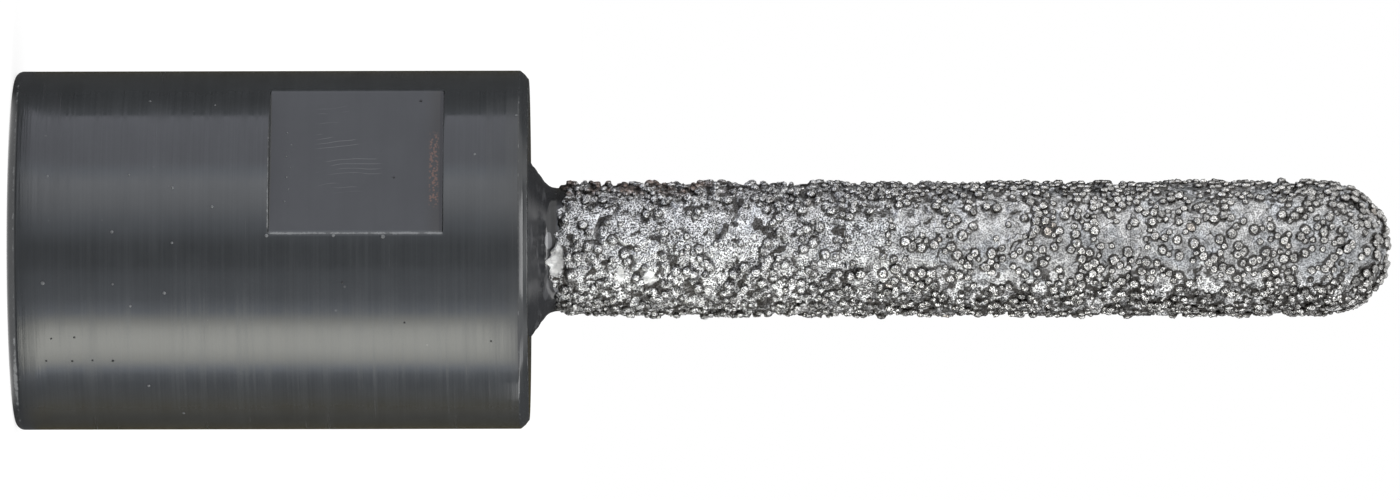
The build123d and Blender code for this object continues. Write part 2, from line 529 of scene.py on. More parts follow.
@dataclass(frozen=True)
class CharcoalPaint:
    """Satin charcoal paint, brushed thinly over turned steel and rubbed at the edges, with painted shade
    beside the front flat's shoulder and painted reflections on the neck.
    """

    colour: Colour = (0.0328, 0.0352, 0.0378)
    neck_colour: Colour = (0.030, 0.031, 0.034)
    # Painted shade in the corner beside the front flat's shoulder.
    corner_shade_colour: Colour = (0.024, 0.022, 0.016)
    # Painted shadow line at that shoulder; the same near-black also darkens a rim on the neck below the
    # coating.
    shadow_and_dark_rim_colour: Colour = (0.012, 0.012, 0.012)
    # Light grey of the painted reflections on the neck's cone.
    neck_reflection_colour: Colour = (0.2, 0.203, 0.215)
    rust_colour: Colour = (0.16, 0.085, 0.06)
    scratch_colour: Colour = (0.14, 0.145, 0.15)
    rubbed_colour: Colour = (0.16, 0.165, 0.17)
    dust_colour: Colour = (0.2, 0.2, 0.2)
    gloss_roughness: float = 0.13
    rings_per_metre: float = 7000.0
    flat_plane: float = 11.03
    flat_width: Span = (-5.9, 5.9)
    flat_heights: Span = (18.0, 30.0)
    corner_shade_heights: Span = (28.4, 29.9)
    shadow_line_heights: Span = (29.7, 29.8)
    rust_heights: Span = (29.05, 29.65)
    rust_width: Span = (-2.2, 3.6)
    scratch_middle: float = 25.0
    scratch_bow: float = 22.0
    scratches_per_metre: float = 2500.0
    scratch_heights: Span = (21.4, 25.6)
    scratch_width: Span = (-4.4, 2.4)
    neck_edge: Span = (35.8, 35.9)
    dark_rim_heights: Span = (37.0, 37.9)
    reflection_streak_heights: Span = (36.0, 37.2)
    reflection_patches: tuple = ((37.25, 8.0, 5.1, 1.0), (37.75, -36.0, 4.6, 0.8))

    def flat_mask(self, place: Wire) -> Wire:
        """1 on the wrench flats, else 0.

        Args:
            place: the place to judge.

        Returns:
            The mask.
        """
        across, depth, height = place.parts()
        on_plane = abs(depth).below(self.flat_plane * MM)
        return across.within(self.flat_width, 0.02) * on_plane * height.within(self.flat_heights, 0.02)

    def marks_on_flat(self, maker: NodeMaker, place: Wire, on_flat: Wire, colour: Wire) -> Wire:
        """Adds the painted shade and painted shadow line beside the front flat's shoulder, and the rust dots
        and rubbed strokes that the flat bears.

        Args:
            maker: the paint's node maker.
            place: the place on the bit.
            on_flat: 1 on the wrench flats.
            colour: the paint's colour before.

        Returns:
            The colour with the marks.
        """
        across, depth, height = place.parts()
        front = on_flat * depth.below(0.0)
        # Painted shade darkening the flat towards its front shoulder, then a painted shadow line at the
        # shoulder itself.
        marked = maker.blend(height.over(self.corner_shade_heights) * front * 0.6, colour, self.corner_shade_colour)
        marked = maker.blend(height.over(self.shadow_line_heights) * front * 0.85, marked, self.shadow_and_dark_rim_colour)
        cells = maker.wire("ShaderNodeTexVoronoi", {"Vector": place, "Scale": 6000.0}, "Distance")
        dots = cells.between(0.55, 0.35) * height.within(self.rust_heights, 0.1)
        dots = dots * across.within(self.rust_width, 0.5)
        marked = maker.blend(dots * front * 0.85, marked, self.rust_colour)
        along = height - self.scratch_middle * MM
        bent = across - along * along * self.scratch_bow
        row = bent * self.scratches_per_metre + maker.noise(place, 260.0) * 2.4
        off_stroke = abs(maker.math("FRACT", row) - 0.5)
        broken = maker.stretched_noise(place, 1400.0, 260.0, 2.0, 0.5).between(0.5, 0.6)
        strokes = off_stroke.between(0.08, 0.02) * broken
        strokes = strokes * height.within(self.scratch_heights, 0.4) * across.within(self.scratch_width, 0.6)
        return maker.blend(strokes * front * 0.55, marked, self.scratch_colour)

    def marks_on_neck(self, maker: NodeMaker, place: Wire, colour: Wire) -> Wire:
        """Adds a dark rim beside the coating, and painted reflections on the cone: light streaks round it and
        light patches.

        Args:
            maker: the paint's node maker.
            place: the place on the bit.
            colour: the paint's colour before.

        Returns:
            The colour with the marks.
        """
        height = place.parts()[2]
        # A dark rim on the cone just below the coating's edge.
        dark_rim = height.over(self.dark_rim_heights, 0.0, 0.85)
        dark_rim = dark_rim * maker.noise(place, 300.0).between(0.4, 0.5, 0.4, 1.0)
        marked = maker.blend(dark_rim, colour, self.shadow_and_dark_rim_colour)
        # Painted reflections: light streaks round the cone.
        streaks = maker.stretched_noise(place, 420.0, 2600.0, 2.0, 0.5).between(0.56, 0.68, 0.0, 0.25)
        marked = maker.blend(streaks * height.within(self.reflection_streak_heights, 0.1), marked, self.neck_reflection_colour)
        ragged = maker.noise(place, 1500.0) * (0.5 * MM)
        # Painted reflections: light patches on the cone.
        for level, angle, radius, size in self.reflection_patches:
            away = place.vector("SUBTRACT", place_at(level, angle, radius))
            distance = away.vector("MULTIPLY", (1.0, 1.0, 2.6)).length() + ragged
            reflection_patch = distance.over((size + 0.2, size + 0.1), 0.0, 0.85)
            marked = maker.blend(reflection_patch, marked, self.neck_reflection_colour)
        return marked

    def material(self, shared: SharedEffects) -> Material:
        """The paint as a material that reads the head's own places and its wear attribute.

        Args:
            shared: the shared node groups.

        Returns:
            The material.
        """
        made, maker = new_material("turned_paint")
        place = maker.place()
        turning = {"Place": place, "Lines per Metre": self.rings_per_metre, "Drift": 60.0}
        rings = maker.group(shared.turning, turning)["Height"]
        edges = {"Place": place, "Edge": maker.attribute("wear"), "Patch Scale": 1700.0, "Amount": 0.72}
        worn = maker.group(shared.wear, edges)["Mask"]
        specks = {"Place": place, "Specks per Metre": 800.0, "Share": 0.4, "Size": 0.12}
        dust = maker.group(shared.speckle, specks)["Specks"]
        on_flat = self.flat_mask(place)
        on_round = 1.0 - on_flat
        mottle = maker.noise(place, 350.0, detail=4.0)
        sweeps = maker.stretched_noise(place, 60.0, 700.0, 3.0, 0.65)
        streaks = maker.stretched_noise(place, 50.0, 1500.0, 3.0, 0.7)
        lines = rings.between(0.3, 0.7, -0.07, 0.07) * on_round + sweeps.between(0.3, 0.7, -0.05, 0.05)
        tone = mottle.between(0.3, 0.7, 0.94, 1.06)
        plain = maker.blend(place.parts()[2].over(self.neck_edge), self.colour, self.neck_colour)
        colour = maker.shaded(plain, lines * tone + tone)
        colour = self.marks_on_flat(maker, place, on_flat, colour)
        colour = self.marks_on_neck(maker, place, colour)
        colour = maker.blend(worn, colour, self.rubbed_colour)
        colour = maker.blend(dust * 0.4, colour, self.dust_colour)
        grooves = (rings - 0.5) * on_round
        rough = grooves * 0.34 + self.gloss_roughness
        rough = rough + streaks.between(0.35, 0.65, -0.07, 0.09) * on_round + worn * 0.2
        normal = maker.bump(0.5, 0.02, grooves * 0.35 + mottle * 0.5)
        maker.principled({"Base Color": colour, "Roughness": rough, "Normal": normal, "IOR": 1.5})
        return made


@dataclass(frozen=True)
class NibPaint:
    """Charcoal paint over a speck of dust, or near-black painted shade on a small dome that stands for a pit.
    """

    colour: Colour
    name: str
    roughness: float = 0.35

    def material(self) -> Material:
        """The finish as a material, a little cloudy.

        Returns:
            The material.
        """
        made, maker = new_material(self.name)
        tone = maker.noise(maker.place(), 5000.0).between(0.3, 0.7, 0.7, 1.3)
        maker.principled({"Base Color": maker.shaded(self.colour, tone), "Roughness": self.roughness})
        return made


@dataclass(frozen=True)
class TappedSteel:
    """Bare cut steel with a film of oil, inside the spindle hole."""

    colour: Colour = (0.36, 0.35, 0.33)
    roughness: float = 0.34
    rings_per_metre: float = 9000.0

    def material(self, shared: SharedEffects) -> Material:
        """The steel as a material with the rings that the tap and drill leave.

        Args:
            shared: the shared node groups.

        Returns:
            The material.
        """
        made, maker = new_material("tapped_steel")
        place = maker.place()
        turning = {"Place": place, "Lines per Metre": self.rings_per_metre, "Drift": 120.0}
        rings = maker.group(shared.turning, turning)["Height"]
        stain = maker.noise(place, 240.0, detail=4.0).between(0.35, 0.7, 1.0, 0.6)
        inputs = {"Base Color": maker.shaded(self.colour, stain), "Roughness": rings * 0.2 + self.roughness}
        maker.principled({**inputs, "Metallic": 1.0, "Normal": maker.bump(0.6, 0.03, rings)})
        return made


@dataclass(frozen=True)
class BrazedGrit:
    """Nickel braze over diamond grains: grey metal with a sandy speckle, and painted shade as dark rings at
    the grains and in the grooves.
    """

    braze_colour: Colour = (0.49, 0.491, 0.493)
    grain_colour: Colour = (0.545, 0.538, 0.524)
    # Painted shade: the dark rings at the grains, their crevices and the grooves.
    grain_shade_colour: Colour = (0.04, 0.036, 0.032)
    brown_colour: Colour = (0.30, 0.235, 0.18)
    blue_colour: Colour = (0.41, 0.43, 0.455)
    stain_colour: Colour = (0.2, 0.135, 0.105)
    # Bare braze's colour: its own metal, lightened as a painted reflection.
    bare_sheen_colour: Colour = (0.85, 0.85, 0.84)
    bare_sand_sheen_colour: Colour = (0.6, 0.6, 0.6)
    pool_roughness: float = 0.36
    sandy_roughness: float = 0.4
    grain_roughness: float = 0.2
    bare_roughness: float = 0.55
    bump_depth: float = 0.11
    sand_end: Span = (54.0, 70.0)
    start_end: Span = (50.0, 66.0)
    under_reach: Span = (1.6, 3.0)
    stain_reach: Span = (3.5, 4.2)
    stain_end: Span = (47.0, 51.0)

    def colour_of_skin(self, maker: NodeMaker, place: Wire, smooth: Wire) -> Wire:
        """The braze's own colour, a little blue in its smooth pools."""
        hue = maker.noise(place, 420.0).between(0.48, 0.6)
        return maker.blend(hue * (smooth * 0.75 + 0.03), self.braze_colour, self.blue_colour)

    def colour_of_grains(self, maker: NodeMaker) -> Wire:
        """A grain's colour: light grey, differing from grain to grain, and brown on a few.

        Args:
            maker: the coating's node maker.

        Returns:
            The colour.
        """
        tint = maker.attribute("tint")
        shade = maker.math("FRACT", tint * 7.0).between(0.0, 1.0, 0.75, 1.1)
        grey_grain = maker.shaded(self.grain_colour, shade)
        return maker.blend(tint.between(0.98, 0.99) * 0.45, grey_grain, self.brown_colour)

    def stain(self, maker: NodeMaker, place: Wire) -> Wire:
        """Where the upper side is stained, beside the neck.

        Args:
            maker: the coating's node maker.
            place: the place to judge.

        Returns:
            The stain's strength.
        """
        at_side = reach_to(place, UPPER_SIDE).over(self.stain_reach, 0.0, 0.75)
        at_start = place.parts()[2].over(self.stain_end, 1.0, 0.0)
        return at_side * at_start * maker.noise(place, 700.0).between(0.42, 0.52)

    def material(self, shared: SharedEffects, on_grains: bool) -> Material:
        """The coating's material.

        Args:
            shared: the shared node groups.
            on_grains: for the grains, which read their tint and their lift, under which painted shade darkens
                their low sides; else for the braze skin, which reads where painted shade falls on it.

        Returns:
            The material.
        """
        made, maker = new_material("grain_metal" if on_grains else "braze_metal")
        place = maker.place()
        height = place.parts()[2]
        not_under = reach_to(place, LOWER_SIDE).over(self.under_reach, 1.0, 0.2)
        pools = maker.noise(place, 500.0).between(0.57, 0.63)
        smooth = height.over(self.sand_end, 0.0, 0.75).at_least(pools * 0.6) * not_under
        specks = {"Place": place, "Specks per Metre": 9500.0, "Share": 0.16, "Size": 0.8}
        speckle = maker.group(shared.speckle, specks)
        grain = speckle["Grain"]
        at_start = height.over(self.start_end, 1.0, 0.0)
        if on_grains:
            body = maker.blend(at_start * 0.7, self.colour_of_grains(maker), self.braze_colour)
            # Painted shade on the grains' low, steep sides.
            dark = maker.attribute("lift").between(0.3, 0.6, 0.9, 0.0)
            rough = at_start * 0.14 + (grain * 0.12 + (self.grain_roughness - 0.06))
        else:
            body = self.colour_of_skin(maker, place, smooth)
            # Painted shade where the skin is least clear: crevices, outlines and grooves.
            dark = maker.attribute("clear").between(0.0, 0.8, 0.92, 0.0)
            rough = smooth.between(0.0, 1.0, self.sandy_roughness, self.pool_roughness)
        sand = grain.between(0.36, 0.64, 0.12, at_start.between(0.0, 1.0, 1.75, 2.1))
        sand = sand * (1.0 - speckle["Specks"] * smooth.between(0.0, 1.0, 0.9, 0.5))
        speckled = maker.shaded(body, sand)
        share = smooth.between(0.0, 1.0, 0.95, 0.45)
        if not on_grains:
            # Bare braze without grains: no painted shade, and a light colour that is partly a painted
            # reflection.
            bare = near_any(place, BARE_PLACES)
            dark = dark * (1.0 - bare)
            share = share * bare.between(0.0, 1.0, 1.0, 0.25)
            rough = bare.between(0.0, 1.0, rough, self.bare_roughness)
            body = maker.blend(bare, body, self.bare_sheen_colour)
            speckled = maker.blend(bare, speckled, self.bare_sand_sheen_colour)
        toned = maker.blend(share, body, speckled)
        clouds = maker.noise(place, 1700.0, detail=1.0).between(0.4, 0.6, 0.25, 1.5)
        toned = maker.blend(not_under.between(0.2, 1.0, 0.85, 0.3), toned, maker.shaded(toned, clouds))
        toned = maker.blend(self.stain(maker, place), toned, self.stain_colour)
        normal = maker.bump(smooth.between(0.0, 1.0, 1.0, 0.45), self.bump_depth, grain)
        # The painted shade laid over the braze's colour.
        inputs = {"Base Color": maker.blend(dark, toned, self.grain_shade_colour), "Roughness": rough}
        maker.principled({**inputs, "Metallic": 1.0, "Normal": normal})
        return made


# Meshes


def angles_round(count: int) -> np.ndarray:
    """That many even angles round the axis, in radians."""
    return np.arange(count) * 2 * math.pi / count


def circle(turn: np.ndarray, radius: Value, height: Value) -> np.ndarray:
    """A ring of points in millimetres, at those angles, radii and heights."""
    return np.stack([radius * np.cos(turn), radius * np.sin(turn), height + 0 * turn], axis=-1)


def lathe_mesh(name: str, rings: np.ndarray, poles: tuple[tuple, tuple] | None, closed: bool = True) -> Mesh:
    """A skin through rings of points.

    Args:
        name: the mesh's name.
        rings: the points in millimetres, as (ring, point on it, 3), from the tip's outside on.
        poles: the first and last point, on the axis; without them the last ring joins the first.
        closed: False leaves a skin without poles open at its ends.

    Returns:
        The mesh, in metres, smooth shaded, with its faces outward.
    """
    count, around = rings.shape[:2]
    here = np.arange(around)
    ahead = (here + 1) % around
    row = np.arange(count - 1)[:, None] * around
    quads = np.stack([row + here, row + around + here, row + around + ahead, row + ahead], axis=-1)
    faces = quads.reshape(-1, 4).tolist()
    points = rings.reshape(-1, 3)
    last = (count - 1) * around
    if poles:
        points = np.concatenate([points, poles])
        first_fan = np.stack([np.full(around, len(points) - 2), here, ahead], axis=-1)
        last_fan = np.stack([last + here, np.full(around, len(points) - 1), last + ahead], axis=-1)
        faces += first_fan.tolist() + last_fan.tolist()
    elif closed:
        faces += np.stack([last + here, here, ahead, last + ahead], axis=-1).tolist()
    mesh = bpy.data.meshes.new(name)
    mesh.from_pydata((points * MM).tolist(), [], faces)
    mesh.polygons.foreach_set("use_smooth", np.ones(len(faces), bool))
    mesh.update()
    return mesh


def write_attribute(mesh: Mesh, name: str, values: np.ndarray, first_pole: float = 0.0) -> None:
    """Stores one number for each ring point of a lathe mesh.

    Args:
        mesh: the mesh.
        name: the attribute's name.
        values: the numbers, ring by ring.
        first_pole: the number of the mesh's first pole.
    """
    made = mesh.attributes.new(name, "FLOAT", "POINT")
    kept = np.zeros(len(mesh.vertices), np.float32)
    kept[: values.size] = values.ravel()
    kept[values.size : values.size + 1] = first_pole
    made.data.foreach_set("value", kept)


def add_object(name: str, data: ID) -> Object:
    """An object for a mesh, a lamp or a camera, in the scene.

    Args:
        name: its name.
        data: what it shows.

    Returns:
        The object.
    """
    made = bpy.data.objects.new(name, data)
    bpy.context.scene.collection.objects.link(made)
    return made


def report(piece: Object) -> None:
    """Logs a piece's name and number of triangles."""
    piece.data.calc_loop_triangles()
    log.info("%s: %d triangles", piece.name, len(piece.data.loop_triangles))


# Turned head


@dataclass(frozen=True)
class Station:
    """One ring of the turned piece, and how the wrench flats and wear touch it.

    cut is the deepest that the flats go here, and keep is what they leave above their plane.
    wear is the paint's edge wear all round, and flat_wear the same only beside the flats.
    """

    height: float
    radius: float
    cut: float = 0.0
    keep: float = 0.0
    wear: float = 0.0
    flat_wear: float = 0.0
    ripple: float = 0.0
    surface: Surface = Surface.PAINTED


@dataclass
class TurnedHead:
    """The head with its spindle hole and wrench flats, the neck, and the core of the finger."""

    radius: float = 12.5
    length: float = 35.8
    rear_rounding: float = 0.6
    front_chamfer: float = 0.6
    across_flats: float = 22.0
    flat_start: float = 18.0
    flat_end: float = 30.0
    edge_rounding: float = 0.11
    corner_fillet: float = 0.12
    neck_radius: float = 6.1
    neck_slope: float = 52.0
    neck_fillet: float = 1.2
    core_radius: float = 4.3
    nose_centre: float = 91.15
    thread_radius: float = 7.0
    thread_length: float = 22.0
    mouth_chamfer: float = 0.9
    drill_radius: float = 6.0
    drill_depth: float = 26.0
    drill_point: float = 3.605
    steps_around: int = 240
    edge_strip: float = 1.1
    neck_rings: int = 24
    ridge_height: float = 0.015
    whole_depth: float = 9.0
    scuff_angle: float = 45.0
    scuff_width: float = 10.0

    @property
    def cone_height(self) -> float:
        """How far the neck's cone would reach above the head without its fillet."""
        return (self.neck_radius - self.core_radius) / math.tan(math.radians(self.neck_slope))

    @property
    def neck_top(self) -> float:
        """Height at which the neck's fillet ends on the straight core."""
        half = math.tan(math.radians(self.neck_slope / 2))
        return self.length + self.cone_height + self.neck_fillet * half

    @property
    def half_flat(self) -> float:
        """Half the angle that a wrench flat takes of the round head."""
        return math.degrees(math.acos(self.across_flats / 2 / self.radius))

    def steel_radius(self, height: float) -> float:
        """Radius of the neck or core at a height above the rear face.

        Args:
            height: the height.

        Returns:
            The radius.
        """
        slope = math.radians(self.neck_slope)
        below = self.neck_top - height
        if below <= 0:
            return self.core_radius
        if below < self.neck_fillet * math.sin(slope):
            return self.core_radius + self.neck_fillet - math.sqrt(self.neck_fillet**2 - below**2)
        return self.neck_radius - (height - self.length) * math.tan(slope)

    def core_stations(self) -> list[Station]:
        """The finger's core, from its nose down to the neck; the coating hides it.

        Returns:
            The rings, in the order of the piece.
        """
        size = self.core_radius
        nose = [
            Station(self.nose_centre + size * math.cos(angle), size * math.sin(angle))
            for angle in map(math.radians, (15, 30, 45, 60, 75, 90))
        ]
        return [*nose, Station(65.0, size), Station(self.neck_top, size)]

    def neck_stations(self) -> list[Station]:
        """The fillet and the cone of the neck, with the ridges that turning leaves.

        Returns:
            The rings, in the order of the piece.
        """
        rows = [
            self.neck_top + (self.length - self.neck_top) * step / self.neck_rings
            for step in range(1, self.neck_rings)
        ]
        return [
            *(Station(row, self.steel_radius(row), ripple=1.0) for row in rows),
            Station(self.length + 0.02, self.neck_radius - 0.03, ripple=0.3),
            Station(self.length - 0.04, self.neck_radius + 0.05),
            Station(self.length, self.neck_radius + 0.13),
        ]

    def front_stations(self) -> list[Station]:
        """The front face and the chamfer at its rim.

        Returns:
            The rings, in the order of the piece.
        """
        size = self.front_chamfer
        chamfer_top = self.radius - size
        return [
            Station(self.length, (self.neck_radius + self.radius) / 2),
            Station(self.length, chamfer_top - 0.07),
            Station(self.length - 0.01, chamfer_top, wear=0.8),
            Station(self.length - 0.07, chamfer_top + 0.06),
            Station(self.length - 0.46 * size, self.radius - 0.45 * size, wear=0.3),
            Station(self.length - 0.52 * size, self.radius - 0.4 * size),
            Station(self.length - size + 0.06, self.radius - 0.05),
            Station(self.length - size, self.radius - 0.01, wear=0.7),
            Station(self.length - size - 0.08, self.radius),
        ]

    def shoulder_stations(self, height: float, towards_flat: int) -> list[Station]:
        """A square shoulder at one end of the flats, from the round side to the flat side.

        Args:
            height: where it is.
            towards_flat: 1 if the flat lies above it, -1 if below.

        Returns:
            Its stations, of which the flat's own come last.
        """
        size = self.edge_rounding
        fillet = self.corner_fillet
        whole = self.whole_depth
        wear_share = 0.5 if towards_flat < 0 else 1.0
        rim = []
        for turn, worn in ((0, 0.55), (30, 0.9), (60, 0.7), (90, 0.0)):
            back = size * (1 - math.sin(math.radians(turn)))
            depth = size * (1 - math.cos(math.radians(turn)))
            level = height - towards_flat * back
            rim.append(Station(level, self.radius, cut=depth, flat_wear=wear_share * worn))
        return [
            Station(height - towards_flat * 3.5 * size, self.radius),
            Station(height - towards_flat * 2 * size, self.radius, flat_wear=0.3),
            *rim,
            Station(height, self.radius, cut=whole, keep=fillet),
            Station(height + towards_flat * 0.3 * fillet, self.radius, cut=whole, keep=0.3 * fillet),
            Station(height + towards_flat * fillet, self.radius, cut=whole),
        ]

    def rear_stations(self) -> list[Station]:
        """The rounded rear rim and the rear face.

        Returns:
            The rings, in the order of the piece.
        """
        size = self.rear_rounding
        inner = self.radius - size
        rim = []
        for turn in (0, 12, 24, 36, 48, 60, 75, 90):
            angle = math.radians(turn)
            worn = {12: 0.7, 24: 0.5}.get(turn, 0.0)
            rim.append(Station(size - size * math.sin(angle), inner + size * math.cos(angle), wear=worn))
        side = [Station(size + above, self.radius) for above in (0.5, 0.1)]
        return [*side, *rim, Station(0.0, inner - 0.4)]

    def hole_stations(self) -> list[Station]:
        """The spindle hole: its mouth, the thread's root and the tap drill's end.

        Returns:
            The rings, in the order of the piece.
        """
        mouth = self.thread_radius + self.mouth_chamfer
        tapped = (
            (self.mouth_chamfer, self.thread_radius),
            (self.thread_length, self.thread_radius),
            (self.thread_length, self.drill_radius),
            (self.drill_depth, self.drill_radius),
            (self.drill_depth + self.drill_point * 0.5, self.drill_radius * 0.5),
        )
        return [
            Station(0.0, mouth + 0.05, wear=0.5),
            Station(0.03, mouth - 0.02, wear=1.0, surface=Surface.TAPPED),
            *(Station(height, radius, surface=Surface.TAPPED) for height, radius in tapped),
        ]

    def stations(self) -> list[Station]:
        """All rings of the piece, from the nose round the outside to the hole's end.

        Returns:
            The rings, in order.
        """
        return [
            *self.core_stations(),
            *self.neck_stations(),
            *self.front_stations(),
            *self.shoulder_stations(self.flat_end, -1),
            *reversed(self.shoulder_stations(self.flat_start, 1)),
            *self.rear_stations(),
            *self.hole_stations(),
        ]

    def angles(self) -> np.ndarray:
        """Angles round the axis in degrees, with the flats' edges and a narrow strip beside each.

        Returns:
            The angles, in rising order.
        """
        edges = [centre + side * self.half_flat for centre in (-90.0, 90.0) for side in (-1, 1)]
        exact = [edge + shift for edge in edges for shift in (-self.edge_strip, 0.0, self.edge_strip)]
        even = np.arange(self.steps_around) * 360.0 / self.steps_around - 180.0
        kept = [angle for angle in even if min(abs(angle - value) for value in exact) > 1.2]
        return np.array(sorted([*kept, *exact]))

    def mesh(self) -> Mesh:
        """The whole closed piece, with its wear attribute and the faces' finishes.

        Returns:
            The mesh, in metres.
        """
        stations = self.stations()
        degrees = self.angles()
        turn = np.radians(degrees)
        off_flat = np.abs(np.abs(degrees) - 90.0)
        across = self.across_flats / 2 / np.cos(np.radians(np.minimum(off_flat, 80.0)))
        depth = np.clip(self.radius - across, 0.0, None)
        lower = np.where(degrees < 0, np.clip(0.45 + (degrees + 105.0) / 40.0, 0.4, 1.0), 1.0)
        beside = (off_flat < self.half_flat + 0.3) * lower
        on_edge = (np.abs(off_flat - self.half_flat) < 0.01).astype(float)
        side_wear = np.where(np.sin(turn) * np.cos(turn) < 0, 1.0, 0.25)
        scuffed = np.exp(-(((SHOWN_SIDE - degrees + self.scuff_angle) / self.scuff_width) ** 2))
        rings = []
        wear = []
        for station in stations:
            cut = np.minimum(station.cut, np.clip(depth - station.keep, 0.0, None))
            radius = station.radius - cut + station.ripple * self.ridge(station.height, turn)
            rings.append(circle(turn, radius, station.height))
            edge = on_edge * side_wear if station.cut > 1 else 0.0
            if station.height < 0.71 and station.radius > 11.5:
                edge = 0.6 * scuffed
            wear.append(np.clip(station.wear + station.flat_wear * beside + edge, 0.0, 1.0) + 0 * turn)
        tip = (0.0, 0.0, self.nose_centre + self.core_radius)
        hole_end = (0.0, 0.0, self.drill_depth + self.drill_point)
        mesh = lathe_mesh("turned_head", np.array(rings), (tip, hole_end))
        write_attribute(mesh, "wear", np.array(wear))
        mesh.set_sharp_from_angle(angle=math.radians(31))
        around = len(degrees)
        finishes = np.full(len(mesh.polygons), Surface.PAINTED.value, np.int32)
        for row, station in enumerate(stations[:-1]):
            finishes[row * around : (row + 1) * around] = station.surface.value
        finishes[len(stations) * around :] = Surface.TAPPED.value
        mesh.polygons.foreach_set("material_index", finishes)
        return mesh

    def ridge(self, height: float, turn: np.ndarray) -> np.ndarray:
        """How far the neck's turning ridges stand out at a height and at each angle.

        Args:
            height: the height.
            turn: the angles, in radians.

        Returns:
            How far, at each angle.
        """
        along = height * 2 * math.pi
        wave = np.sin(along / 0.55 + 0.6 * np.sin(3 * turn)) + 0.5 * np.sin(along / 1.3 + 5 * turn)
        at_outline = np.sin(turn - math.radians(SHOWN_SIDE)) ** 8 * np.clip(37.2 - height, 0.0, 1.0)
        teeth = np.clip(np.sin(23 * turn + along / 0.4) - 0.6, 0.0, None) * at_outline
        return self.ridge_height * (0.4 * wave * (1 + 0.5 * np.sin(11 * turn + along)) + 24 * teeth)

    def build(self, paint: Material, steel: Material) -> Object:
        """Makes the piece, dresses it and hides the solid whose place it takes.

        Args:
            paint: the finish of its outside.
            steel: the finish of its hole.

        Returns:
            The piece.
        """
        piece = add_object("turned_head", self.mesh())
        piece.data.materials.append(paint)
        piece.data.materials.append(steel)
        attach(piece, BODY)
        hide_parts("steel_body")
        return piece


# Dust under the paint


